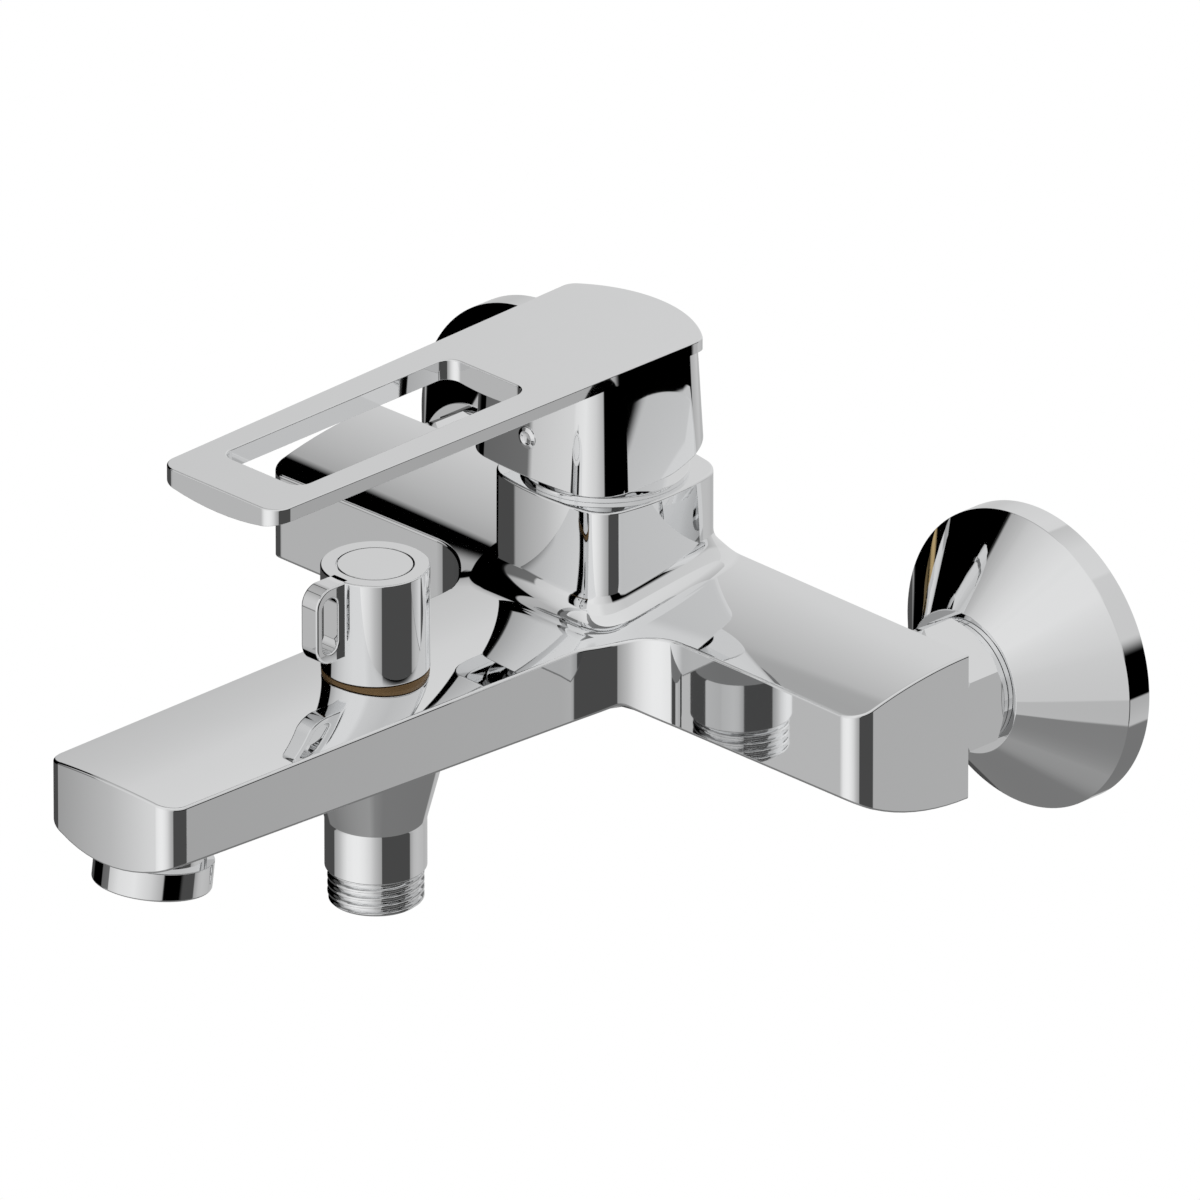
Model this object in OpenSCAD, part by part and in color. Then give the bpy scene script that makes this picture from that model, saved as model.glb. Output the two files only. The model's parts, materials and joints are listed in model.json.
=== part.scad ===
// Wall mounted bath faucet: single-lever mixer with a bath spout, a knob that
// diverts the water to a shower outlet, and two wall unions under escutcheons.
// Frame: the wall is the plane Y = 0 and the room lies towards -Y, X runs along
// the wall, Z is up, and the origin is midway between the two wall inlets.

/* [Wall connection] */
// Distance between the hot and cold inlet axes
inlet_pitch = 150; // [134:1:180]
// Radius of the wall flange of an escutcheon
escutcheon_r = 33.8; // [29:0.1:37]
// Thickness of the cylindrical rim of an escutcheon
escutcheon_rim = 6; // [4:0.1:8]
// Distance from the wall to the small end of an escutcheon
escutcheon_depth = 23; // [19:0.1:28]
// Distance from the wall to the back of the tap body
body_back = 37; // [34:0.1:45]
// Width across the flats of a union nut
nut_flats = 28; // [27:0.1:34]
// Length of the wall thread of a union
wall_thread_l = 16; // [12:0.5:25]

/* [Body] */
// Distance from an inlet axis to the end of its arm
arm_end = 15.8; // [14.5:0.1:20]
// Depth of the arms from back to front
arm_depth = 33.8; // [30:0.1:41]
// Height of the arm top above the inlet axes, at the back
arm_top = 17; // [16:0.1:20]
// Depth of the arm bottom below the inlet axes, at the back
arm_bottom = 18; // [16.5:0.1:22]
// Radius of the crown of the arm top
arm_top_r = 120; // [100:5:400]
// Radius of the bulge under the arms
arm_bottom_r = 64; // [56:1:200]
// Radius of the inner corners between the arms and the spout
inner_corner_r = 17; // [10:0.5:22]
// Radius of the outer corners
outer_corner_r = 5.2; // [3:0.1:6]

/* [Spout] */
// Distance from the wall to the spout tip
spout_reach = 207; // [190:1:250]
// Half width of the spout at the arms
spout_root_w = 21; // [20.5:0.1:25]
// Half width of the spout at the tip
spout_tip_w = 19.4; // [18:0.1:23]
// Height of the middle of the spout top
spout_top = 12; // [11:0.1:14.5]
// Radius of the crown of the spout top
spout_top_r = 100; // [80:5:300]
// Depth of the middle of the spout bottom at the tip
spout_bottom = 8; // [7.5:0.1:10]
// Radius of the bulge under the spout
spout_bottom_r = 42; // [36:1:100]
// Slope of the spout bottom towards the arms, in degrees
spout_slope = 2; // [0:0.1:3]
// Bulge of the flat end of the spout
tip_bulge = 0.9; // [0.3:0.1:1.5]

/* [Lever and cartridge] */
// Distance from the wall to the cartridge axis
neck_y = 57; // [55:0.5:62]
// Half width of the square neck
neck_w = 19.4; // [19.2:0.1:22]
// Radius of the vertical corners of the neck
neck_corner_r = 8; // [6:0.1:9]
// Height of the neck top
neck_top = 37; // [34:0.1:42]
// Radius of the hollow fillet round the foot of the neck
neck_fillet = 6; // [3:0.1:7]
// Distance from the cartridge axis to the tip of the lever
lever_reach = 116; // [100:0.5:140]
// Half width of the lever at the hub
lever_w = 19.6; // [19.2:0.1:22]
// Half width of the lever at the tip
lever_tip_w = 18; // [15:0.1:19]
// Height of the lever top above the neck top, at the hub
lever_rise = 34; // [32:0.5:38]
// Slope of the lever top down to its tip, in degrees
lever_slope = 0.8; // [0:0.1:4]
// Thickness of the lever at its long sides
lever_side = 3.4; // [2.5:0.1:5]
// Extra thickness along the middle of the lever
lever_belly = 2.2; // [0.5:0.1:3]
// Gap between the neck top and the hub of the lever
hub_gap = 4; // [3:0.1:6]
// Half width of the slot in the lever
slot_w = 12; // [8:0.1:13]
// Distance from the cartridge axis to the near end of the slot
slot_near = 35; // [31:0.5:40]
// Distance from the lever tip to the far end of the slot
slot_far = 12.6; // [8:0.1:20]
// Radius of the cartridge housing
cartridge_r = 17.2; // [16:0.1:17.3]
// Height of the tilting axis of the lever above the neck top
pivot_rise = 3; // [2.6:0.1:3.4]

/* [Diverter] */
// Distance from the wall to the diverter axis
diverter_y = 126; // [118:1:150]
// Radius of the diverter knob
knob_r = 11.8; // [11:0.1:14]
// Height of the top of the knob
knob_top = 36.6; // [33:0.1:45]
// Reach of the finger loop beyond the knob
loop_reach = 8; // [7:0.1:12]
// Thickness of the finger loop
loop_t = 5; // [4:0.1:7]
// Radius of the index disc on the knob
disc_r = 8.3; // [6:0.1:9]

/* [Outlets] */
// Radius of the shower outlet thread, G 1/2
outlet_r = 10.48; // [9:0.01:12.2]
// Depth of the outlet mouth below the inlet axes
outlet_drop = 42.4; // [40:0.1:55]
// Length of the shower outlet thread
outlet_thread_l = 8; // [7:0.5:12]
// Distance from the spout tip to the aerator axis
aerator_back = 14.2; // [14:0.1:20]
// Radius of the aerator housing
aerator_r = 13; // [12:0.1:13.4]
// Depth of the aerator mouth below the inlet axes
aerator_drop = 16.6; // [15:0.1:20]
// Tilt of the aerator towards the bather, in degrees
aerator_tilt = 8; // [0:1:12]

/* [Clearances] */
// Gap at pieces that only lie next to each other
gap = 0.3; // [0.3:0.05:0.5]
// Radial clearance of running and sliding fits
fit = 0.05; // [0.02:0.01:0.1]

/* [Hidden] */
$fn = 96;
large_fn = 240;                 // for the large, shallow curves

chrome = [0.86, 0.87, 0.88];
brass = [0.72, 0.58, 0.33];
ceramic = [0.93, 0.92, 0.88];
plastic = [0.9, 0.9, 0.86];
rubber = [0.12, 0.12, 0.13];
steel = [0.6, 0.61, 0.63];

inlet_x = inlet_pitch / 2;
arm_x = inlet_x + arm_end;
arm_front = body_back + arm_depth;
cut = 1;                       // how far a cutter runs past the face it opens

// wall unions: a G 1/2 wall thread and a G 3/4 thread for the union nut
wall_thread_r = 10.48;
nut_thread_r = 12.9;
nut_bore_r = nut_thread_r + fit;
union_bore_r = 7.5;
union_shoulder = 6.7;            // plain part of the union next to the wall
tail_flange_r = 11.6;
tail_flange_t = 2.5;
tail_r = 9.6;
tail_neck_r = tail_r - 0.4;
tail_bore_r = 6.5;
tail_l = 12;
washer_t = 2;
nut_far = escutcheon_depth + 1.4;          // end of the nut next to the cone
nut_l = body_back - gap - nut_far;
nut_collar = 2.4;                          // inward lip that holds the tailpiece
nut_chamfer = 2;
tail_face = body_back - gap - nut_collar - fit - tail_flange_t;
union_face = tail_face - washer_t;         // end of the wall union
strainer_t = washer_t / 3;
strainer_pitch = tail_bore_r / 2.6;
strainer_hole_r = 0.36 * strainer_pitch;
tail_shoulder = body_back - tail_face;     // start of the stretch inside the casting
escutcheon_neck_r = 16.2;
escutcheon_wall = 1.2;
union_body_r = 14.2;
escutcheon_bore_r = union_body_r - escutcheon_wall + gap;
escutcheon_lip = 4 * escutcheon_wall;      // width of the face that meets the wall

// waterways of the casting
inlet_bore_r = 8;
gallery_r = 7.5;
gallery_y = neck_y - 4;
gallery_z = -7;
port_r = 3.2;
port_x = 7;
seal_w = 1.4;
seal_h = 2;
mixed_port_y = neck_y + 8;
ports = [[-port_x, 0], [port_x, 0], [0, neck_y - mixed_port_y]];
spout_way_r = 5.5;
spout_way_z = -3;
tip_way_z = 2;

// cartridge, stacked up from the floor of the chamber
chamber_r = cartridge_r + 0.2;
chamber_floor = neck_top - 33;
base_t = 5;
fixed_t = 4;
moving_t = 3;
disc_clear = 0.02;
fixed_z = chamber_floor + base_t;
moving_z = fixed_z + fixed_t;
carrier_z = moving_z + moving_t;
cavity_r = cartridge_r - 2.2;
fixed_disc_r = cavity_r - fit;
moving_disc_r = 9;
pivot_z = neck_top + pivot_rise;
ball_z = pivot_z - 15;
ball_r = 2.5;
carrier_t = ball_z - carrier_z + 0.5;
pocket_r = ball_r + 0.25;
ball_neck_r = ball_r - 0.6;
carrier_r = moving_disc_r - 0.4;
mixing_depth = 1.6;             // hollow under the moving disc that joins the ports
rotor_r = 10;
rotor_flange_r = 13;
rotor_z = ball_z + ball_r + 1.2;
rotor_flange_t = 2;
shoulder_z = rotor_z + rotor_flange_t + gap;
shoulder_t = 2.6;
housing_neck_r = 11.6;
housing_top = pivot_z + 2.5;
rotor_top = pivot_z + 5;
pin_r = 1.5;
pin_half = 9.5;
spindle_w = 7;
spindle_z = pivot_z - 5;        // lower end of the square part
rotor_slot_w = spindle_w + 2 * gap;
rotor_slot_l = 16.4;
cartridge_thread_r = chamber_r + 0.6;
nut_ring_z = shoulder_z + shoulder_t;
nut_ring_top = neck_top - gap;
nut_ring_r = housing_neck_r + gap;
spanner_notch = 3;

// dome over the cartridge, round the tilting axis so the hub swings about it
dome_r = 13.8;
dome_wall = 1.4;
dome_flange_r = 18.4;
dome_flange_t = 1.2;
dome_mouth_r = 11.5;
dome_lip_z = sqrt(dome_r * dome_r - dome_mouth_r * dome_mouth_r);

// lever
lever_top = neck_top + lever_rise;
hub_bottom = neck_top + hub_gap;
hub_below = 1.2;                // how far the hub ends under the top of the blade
hollow_r = dome_r + gap + 0.1;
hub_front = 22;
hub_rear = 16.5;
hub_corner_r = 8;
rear_bulge = 5;
rear_w = lever_w - 3;
rear_arc_r = (rear_w * rear_w + rear_bulge * rear_bulge) / (2 * rear_bulge);
rear_corner_r = 4;
lever_tip_r = 4.5;
belly_w = lever_tip_w;
belly_r = (belly_w * belly_w + lever_belly * lever_belly) / (2 * lever_belly);
roof_t = 6;
socket_r = 7;
socket_z = pivot_z + 8.6;
spindle_top = lever_top - roof_t - 2;
screw_z = pivot_z + 11;
screw_r = 2;
screw_l = 7;
plug_r = 2.6;
plug_seat = 1.6;                // depth of the index plug in the hub
plug_proud = 0.3;
rim_rise = 5;                  // how far the rear rim of the hub climbs
rim_r = 30;
slot_corner_r = 3.5;
slot_l = lever_reach - slot_near - slot_far;

// diverter
bore_r = 8;
bonnet_top = spout_top - 0.4;
bonnet_t = 7;
ring_t = 0.5;
ring_r = knob_r - 0.1;
ring_skirt = 1.4;
knob_z = spout_top + ring_t + gap;
stem_r = 3;
stem_top = knob_z + 15;
screw_shank_r = 1.5;
screw_bite = 6;                 // length of the knob screw in the stem
screw_head_r = 3.2;
screw_head_t = 2.4;
rotor_bottom = -9;
rotor_way_z = -2;
rotor_body_top = bonnet_top - bonnet_t - gap;
knob_wall = 2;
knob_roof = 3;
knob_boss_r = 5.5;
disc_t = 1.2;
screw_head_z = knob_top - disc_t - 3.6;
loop_slot_w = 4.8;
loop_slot_h = 12.8;
loop_bottom = knob_z + 6;
loop_corner_r = 4.4;
loop_wall = 1.7;

// shower outlet and its check valve; threads are plain cylinders at their crests
nipple_bore_r = 6.2;
nipple_tail_r = 8.6;
nipple_tail_l = 10;
outlet_face = -(outlet_drop - outlet_thread_l);
boss_end_r = outlet_r + 0.6;
boss_top_r = 15.5;
valve_r = nipple_bore_r - fit;
valve_l = 8;
valve_bore_r = 4.2;
valve_z = -outlet_drop + 6;
valve_hole_r = 1.1;
valve_wall = 1.2;
valve_seat_r = 2.6;
poppet_r = 3.6;
poppet_t = 1.2;
poppet_stem_r = 1;
poppet_z = valve_z + valve_l - valve_wall - poppet_t - 0.02;

// aerator
aerator_y = spout_reach - aerator_back;
aerator_thread_r = aerator_r - 1.6;
aerator_insert_r = aerator_r - 3.2;
aerator_bore_r = aerator_insert_r + fit;
aerator_skirt = 6.4;
aerator_neck = 6;
insert_t = 7;
aerator_lip = 1.2;              // under the edge of the insert
jet_r = 1.1;
seal_t = 1.5;

// ---------------------------------------------------------------- helpers

module on_side(side) {
    translate([side * inlet_x, 0, 0]) rotate([90, 0, 0]) children();
}

module at_neck() {
    translate([0, -neck_y, 0]) children();
}

module at_diverter() {
    translate([0, -diverter_y, 0]) children();
}

// turned with the aerator about the centre of its mouth; +Z points up into the spout
module at_aerator() {
    translate([0, -aerator_y, -aerator_drop]) rotate([-aerator_tilt, 0, 0]) children();
}

module tube(r, bore, h) {
    difference() {
        cylinder(r = r, h = h);
        translate([0, 0, -cut]) cylinder(r = bore, h = h + 2 * cut);
    }
}

module rounded_rect(half_x, half_y, r) {
    square([2 * half_x, 2 * (half_y - r)], center = true);
    square([2 * (half_x - r), 2 * half_y], center = true);
    for (sx = [-1, 1], sy = [-1, 1])
        translate([sx * (half_x - r), sy * (half_y - r)]) circle(r = r);
}

// ---------------------------------------------------------------- casting

spout_side = spout_root_w - (spout_root_w - spout_tip_w)
    * inner_corner_r / (spout_reach - arm_front);
tip_flat = spout_tip_w - outer_corner_r;
tip_arc_r = (tip_flat * tip_flat + tip_bulge * tip_bulge) / (2 * tip_bulge);

module spout_plan() {
    tip_y = -spout_reach + tip_bulge;
    polygon([[-spout_root_w, -arm_front + cut], [spout_root_w, -arm_front + cut],
        [spout_tip_w, tip_y + outer_corner_r], [tip_flat, tip_y],
        [-tip_flat, tip_y], [-spout_tip_w, tip_y + outer_corner_r]]);
    for (side = [-1, 1]) translate([side * tip_flat, tip_y + outer_corner_r])
        circle(r = outer_corner_r);
    intersection() {
        translate([0, -spout_reach + tip_arc_r]) circle(r = tip_arc_r, $fn = large_fn);
        translate([-tip_flat, -spout_reach]) square([2 * tip_flat, 4 * tip_bulge]);
    }
}

module arms_plan() {
    r = outer_corner_r;
    translate([-arm_x, -arm_front + r]) square([2 * arm_x, arm_depth - r]);
    translate([-arm_x + r, -arm_front]) square([2 * (arm_x - r), arm_depth]);
    for (side = [-1, 1]) translate([side * (arm_x - r), -arm_front + r]) circle(r = r);
}

module inner_corner_plan(side) {
    r = inner_corner_r;
    difference() {
        translate([side < 0 ? -spout_side - r : spout_side - 1, -arm_front - r])
            square([r + 1, r + 1]);
        translate([side * (spout_side + r), -arm_front - r]) circle(r = r);
    }
}

module body_plan() {
    arms_plan();
    spout_plan();
    for (side = [-1, 1]) inner_corner_plan(side);
}

// the space between a crowned top and a bulging bottom, along the spout
module spout_lens() {
    length = spout_reach + 20;
    intersection() {
        translate([0, 0, spout_top - spout_top_r]) rotate([90, 0, 0])
            cylinder(r = spout_top_r, h = length, $fn = large_fn);
        translate([0, -spout_reach, spout_bottom_r - spout_bottom])
            rotate([-90 - spout_slope, 0, 0]) translate([0, 0, -20])
                cylinder(r = spout_bottom_r, h = length, $fn = large_fn);
    }
}

module arm_lens() {
    intersection() {
        translate([-arm_x - cut, -body_back, arm_top - arm_top_r]) rotate([0, 90, 0])
            cylinder(r = arm_top_r, h = 2 * (arm_x + cut), $fn = large_fn);
        translate([-arm_x - cut, -body_back, arm_bottom_r - arm_bottom]) rotate([0, 90, 0])
            cylinder(r = arm_bottom_r, h = 2 * (arm_x + cut), $fn = large_fn);
        translate([-arm_x - cut, -arm_front - inner_corner_r, -arm_bottom - cut])
            cube([2 * (arm_x + cut), arm_depth + inner_corner_r + cut, arm_bottom + arm_top + 2 * cut]);
    }
}

// hollow fillet round the foot of the neck
module neck_flare() {
    r = neck_fillet;
    half = neck_w - neck_corner_r;
    foot = spout_top - 0.5;
    module profile(from) {
        difference() {
            translate([from, -3]) square([neck_corner_r - from + r, r + 3]);
            translate([neck_corner_r + r, r]) circle(r = r);
        }
    }
    translate([0, 0, foot]) for (k = [0 : 3]) rotate([0, 0, 90 * k]) {
        translate([half, half, 0]) rotate_extrude(angle = 90) profile(neck_corner_r - 3);
        translate([half, half, 0]) rotate([90, 0, 0])
            linear_extrude(2 * half) profile(neck_corner_r - 3);
    }
}

module outlet_boss() {
    h = boss_top_r - boss_end_r;
    drop = outlet_drop - outlet_thread_l;
    at_diverter() translate([0, 0, -drop]) {
        cylinder(r = boss_end_r, h = drop);
        translate([0, 0, drop / 3]) cylinder(r1 = boss_end_r, r2 = boss_top_r, h = drop / 2);
        intersection() {
            translate([0, 0, 3]) rotate([20, 0, 0]) cylinder(r = boss_end_r - 1, h = drop - 3);
            translate([0, -boss_top_r, drop / 2]) cube([60, 60, drop], center = true);
        }
    }
}

module casting_bores() {
    for (side = [-1, 1]) {
        // inlet, with the seat of the tailpiece
        translate([side * inlet_x, -body_back + cut, 0]) rotate([90, 0, 0])
            cylinder(r = tail_r + fit, h = tail_l + cut);
        translate([side * inlet_x, -body_back - tail_l + cut, 0]) rotate([90, 0, 0])
            cylinder(r = inlet_bore_r, h = gallery_y - body_back - tail_l + cut);
        // gallery along the arm and the port up to the cartridge
        translate([side * inlet_x, -gallery_y, gallery_z]) rotate([0, -side * 90, 0])
            cylinder(r = gallery_r, h = inlet_x - 2);
        translate([side * inlet_x, -gallery_y, gallery_z]) cylinder(r = gallery_r, h = -gallery_z);
        translate([side * port_x, -neck_y, gallery_z])
            cylinder(r = port_r, h = chamber_floor - gallery_z + cut);
    }
    // cartridge chamber and the thread of its nut
    at_neck() translate([0, 0, chamber_floor]) cylinder(r = chamber_r, h = neck_top);
    at_neck() translate([0, 0, nut_ring_z]) cylinder(r = cartridge_thread_r + fit, h = neck_top);
    // mixed water down to the spout, through the diverter and on to the tip
    translate([0, -mixed_port_y, spout_way_z])
        cylinder(r = port_r, h = chamber_floor - spout_way_z + cut);
    translate([0, -mixed_port_y + port_r + 1, spout_way_z]) rotate([90, 0, 0])
        cylinder(r = spout_way_r, h = diverter_y - mixed_port_y);
    translate([0, -diverter_y, tip_way_z - 1]) rotate([90, 0, 0])
        cylinder(r = spout_way_r, h = aerator_y - diverter_y + 5);
    at_diverter() translate([0, 0, rotor_bottom - gap])
        cylinder(r = bore_r + fit, h = spout_top - rotor_bottom + 5);
    at_diverter() translate([0, 0, outlet_face - cut])
        cylinder(r = nipple_bore_r, h = rotor_bottom - outlet_face + cut);
    at_diverter() translate([0, 0, outlet_face - cut])
        cylinder(r = nipple_tail_r + fit, h = nipple_tail_l + cut);
    // flat seat of the ring under the knob
    at_diverter() translate([0, 0, bonnet_top - ring_skirt]) cylinder(r = ring_r, h = 10);
    // threaded hole of the aerator
    at_aerator() translate([0, 0, -cut]) cylinder(r = aerator_thread_r + fit,
        h = aerator_skirt + aerator_neck + cut);
    at_aerator() cylinder(r = aerator_insert_r - 2, h = aerator_drop + tip_way_z);
}

module body_casting() {
    color(chrome) difference() {
        union() {
            intersection() {
                translate([0, 0, -arm_bottom - 5]) linear_extrude(arm_bottom + arm_top + 30)
                    body_plan();
                union() {
                    spout_lens();
                    arm_lens();
                    at_neck() neck_flare();
                }
            }
            at_neck() linear_extrude(neck_top) rounded_rect(neck_w, neck_w, neck_corner_r);
            difference() {
                outlet_boss();
                translate([0, -diverter_y, spout_top / 2 + 3])
                    cube([60, 60, spout_top + 6], center = true);
            }
        }
        casting_bores();
    }
}

// ---------------------------------------------------------------- wall side

module wall_union(side) {
    color(brass) on_side(side) difference() {
        union() {
            translate([0, 0, -wall_thread_l]) cylinder(r = wall_thread_r, h = wall_thread_l + cut);
            translate([0, 0, -gap]) cylinder(r = union_body_r - 1, h = union_shoulder + gap);
            translate([0, 0, cut]) cylinder(r = nut_thread_r, h = union_face - cut);
        }
        translate([0, 0, -wall_thread_l - cut])
            cylinder(r = union_bore_r, h = wall_thread_l + union_face + 2 * cut);
    }
}

// sealing ring with a strainer plate across its bore
module filter_washer(side) {
    color(rubber) on_side(side) translate([0, 0, union_face]) {
        tube(tail_flange_r - 0.2, tail_bore_r, washer_t);
        difference() {
            cylinder(r = tail_bore_r + cut, h = strainer_t);
            translate([0, 0, -cut]) for (ring = [0 : 2], k = [0 : max(1, 6 * ring) - 1])
                rotate([0, 0, ring == 0 ? 0 : 60 * k / ring]) translate([ring * strainer_pitch, 0, 0])
                    cylinder(r = strainer_hole_r, h = strainer_t + 2 * cut, $fn = 24);
        }
    }
}

module tailpiece(side) {
    color(brass) on_side(side) translate([0, 0, tail_face]) {
        tube(tail_flange_r, tail_bore_r, tail_flange_t);
        tube(tail_neck_r, tail_bore_r, tail_shoulder + cut);
        translate([0, 0, tail_shoulder]) tube(tail_r, tail_bore_r, tail_l - cut);
    }
}

module union_nut(side) {
    corner_r = nut_flats / 2 / cos(30);
    color(chrome) on_side(side) translate([0, 0, nut_far]) difference() {
        intersection() {
            rotate([0, 0, 30]) cylinder(r = corner_r, h = nut_l, $fn = 6);
            translate([0, 0, -corner_r + nut_chamfer])
                cylinder(r1 = 0, r2 = 2 * corner_r + nut_l, h = 2 * corner_r + nut_l);
            translate([0, 0, -corner_r])
                cylinder(r1 = 2 * corner_r + nut_l - nut_chamfer, r2 = 0,
                    h = 2 * corner_r + nut_l - nut_chamfer);
        }
        translate([0, 0, -cut])
            cylinder(r = nut_bore_r, h = nut_l - nut_collar + cut);
        translate([0, 0, -cut]) cylinder(r = tail_neck_r + gap, h = nut_l + 2 * cut);
    }
}

// cone with a cylindrical rim, pressed to the wall round the union
module escutcheon(side) {
    w = escutcheon_wall;
    color(chrome) on_side(side) rotate_extrude() polygon([
        [escutcheon_r - escutcheon_lip, 0], [escutcheon_r, 0],
        [escutcheon_r, escutcheon_rim], [escutcheon_neck_r, escutcheon_depth],
        [escutcheon_bore_r, escutcheon_depth], [escutcheon_bore_r, escutcheon_depth - 2 * w],
        [escutcheon_neck_r - w, escutcheon_depth - 2 * w],
        [escutcheon_r - 2 * w, escutcheon_rim - w], [escutcheon_r - 2 * w, w],
        [escutcheon_r - escutcheon_lip, w]]);
}

// ---------------------------------------------------------------- cartridge

module cartridge_ports(z, h) {
    for (p = ports) translate([p[0], p[1], z]) cylinder(r = port_r, h = h);
}

module cartridge_base() {
    color(plastic) at_neck() difference() {
        translate([0, 0, chamber_floor]) cylinder(r = cartridge_r, h = base_t);
        cartridge_ports(chamber_floor - cut, base_t + 2 * cut);
        cartridge_seats();
    }
}

// rings that seal the ports against the floor of the chamber
module cartridge_seats() {
    for (p = ports) translate([p[0], p[1], chamber_floor - cut])
        cylinder(r = port_r + seal_w, h = cut + seal_h);
}

module cartridge_seals() {
    color(rubber) at_neck()
        for (p = ports) translate([p[0], p[1], chamber_floor]) tube(port_r + seal_w, port_r, seal_h);
}

module fixed_ceramic_disc() {
    color(ceramic) at_neck() difference() {
        translate([0, 0, fixed_z]) cylinder(r = fixed_disc_r, h = fixed_t - disc_clear);
        cartridge_ports(fixed_z - cut, fixed_t + 2 * cut);
    }
}

module moving_ceramic_disc() {
    color(ceramic) at_neck() difference() {
        translate([0, 0, moving_z]) cylinder(r = moving_disc_r, h = moving_t);
        translate([0, 0, moving_z - cut]) linear_extrude(cut + mixing_depth)
            rounded_rect(4.5, 3, 2);
    }
}

module disc_carrier() {
    color(plastic) at_neck() difference() {
        translate([0, 0, carrier_z]) cylinder(r = carrier_r, h = carrier_t);
        translate([0, 0, ball_z - ball_r - gap]) cylinder(r = pocket_r, h = carrier_t);
    }
}

module cartridge_housing() {
    color(plastic) at_neck() difference() {
        union() {
            translate([0, 0, fixed_z]) cylinder(r = cartridge_r, h = nut_ring_z - fixed_z);
            translate([0, 0, fixed_z]) cylinder(r = housing_neck_r, h = housing_top - fixed_z);
        }
        translate([0, 0, fixed_z - cut]) cylinder(r = cavity_r, h = shoulder_z - fixed_z + cut);
        translate([0, 0, fixed_z]) cylinder(r = rotor_r + fit, h = housing_top);
    }
}

module cartridge_rotor() {
    color(plastic) at_neck() difference() {
        union() {
            translate([0, 0, rotor_z]) cylinder(r = rotor_flange_r, h = rotor_flange_t);
            translate([0, 0, rotor_z]) cylinder(r = rotor_r, h = rotor_top - rotor_z);
        }
        translate([0, 0, rotor_z - cut]) linear_extrude(rotor_top - rotor_z + 2 * cut)
            square([rotor_slot_w, rotor_slot_l], center = true);
        translate([-rotor_flange_r, 0, pivot_z]) rotate([0, 90, 0])
            cylinder(r = pin_r, h = 2 * rotor_flange_r);
    }
}

module pivot_pin() {
    color(steel) at_neck() translate([-pin_half, 0, pivot_z]) rotate([0, 90, 0])
        cylinder(r = pin_r, h = 2 * pin_half);
}

module cartridge_spindle() {
    color(brass) at_neck() difference() {
        union() {
            translate([-spindle_w / 2, -spindle_w / 2, spindle_z])
                cube([spindle_w, spindle_w, spindle_top - spindle_z]);
            translate([0, 0, ball_z]) cylinder(r = ball_neck_r, h = spindle_z + cut - ball_z);
            translate([0, 0, ball_z]) sphere(r = ball_r);
        }
        translate([-spindle_w, 0, pivot_z]) rotate([0, 90, 0])
            cylinder(r = pin_r + fit, h = 2 * spindle_w);
    }
}

module cartridge_nut() {
    color(brass) at_neck() difference() {
        translate([0, 0, nut_ring_z])
            tube(cartridge_thread_r, nut_ring_r, nut_ring_top - nut_ring_z);
        for (k = [0 : 3]) rotate([0, 0, 90 * k + 45])
            translate([nut_ring_r - cut, -spanner_notch / 2, nut_ring_top - 2])
                cube(spanner_notch);
    }
}

module dome_cap() {
    color(chrome) at_neck() difference() {
        union() {
            translate([0, 0, neck_top]) cylinder(r = dome_flange_r, h = dome_flange_t);
            intersection() {
                translate([0, 0, pivot_z]) sphere(r = dome_r);
                translate([0, 0, neck_top]) cylinder(r = dome_r + cut, h = pivot_rise + dome_lip_z);
            }
        }
        translate([0, 0, pivot_z]) sphere(r = dome_r - dome_wall);
        translate([0, 0, neck_top - cut]) cylinder(r = dome_mouth_r, h = 2 * dome_r);
        translate([0, 0, neck_top - cut])
            cylinder(r = housing_neck_r + gap, h = housing_top - neck_top + cut);
    }
}

// ---------------------------------------------------------------- lever

module lever_plan() {
    r = lever_tip_r;
    rear = hub_rear;
    polygon([[-lever_w, rear - rear_bulge - rear_corner_r], [-lever_w, -hub_front],
        [-lever_tip_w, -lever_reach + r], [-lever_tip_w + r, -lever_reach],
        [lever_tip_w - r, -lever_reach], [lever_tip_w, -lever_reach + r],
        [lever_w, -hub_front], [lever_w, rear - rear_bulge - rear_corner_r]]);
    for (side = [-1, 1]) translate([side * (lever_tip_w - r), -lever_reach + r])
        circle(r = r);
    for (side = [-1, 1])
        translate([side * (lever_w - rear_corner_r), rear - rear_bulge - rear_corner_r])
            circle(r = rear_corner_r);
    intersection() {
        translate([0, rear - rear_arc_r]) circle(r = rear_arc_r);
        translate([-lever_w + rear_corner_r, 0])
            square([2 * (lever_w - rear_corner_r), hub_rear + cut]);
    }
}

// the rear of the lever, with rounded corners in front as on the neck
module hub_plan() {
    intersection() {
        lever_plan();
        translate([0, hub_rear]) rounded_rect(lever_w, hub_front + hub_rear, hub_corner_r);
    }
}

// blade: flat top, sides of one thickness and a rounded belly
module blade() {
    intersection() {
        translate([0, 0, -roof_t - 4]) linear_extrude(roof_t + 4) lever_plan();
        translate([0, hub_rear, -lever_side - lever_belly + belly_r]) rotate([90, 0, 0])
            cylinder(r = belly_r, h = lever_reach + hub_rear + cut, $fn = large_fn);
    }
}

module hub() {
    difference() {
        translate([0, 0, hub_bottom]) linear_extrude(lever_top - hub_bottom - hub_below) hub_plan();
        // the hollow that swings over the dome
        translate([0, 0, hub_bottom - cut])
            cylinder(r = hollow_r, h = lever_top - roof_t - hub_bottom + cut);
        // the rear rim climbs so that the hub can tilt
        translate([-lever_w - cut, 0, hub_bottom - cut]) rotate([0, 90, 0]) difference() {
            translate([-rim_rise - cut, 0, 0]) cube([rim_rise + cut, hub_rear + cut, 2 * lever_w + 2]);
            translate([-rim_r - cut, 0, -cut]) cylinder(r = rim_r, h = 2 * lever_w + 4);
        }
    }
}

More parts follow.
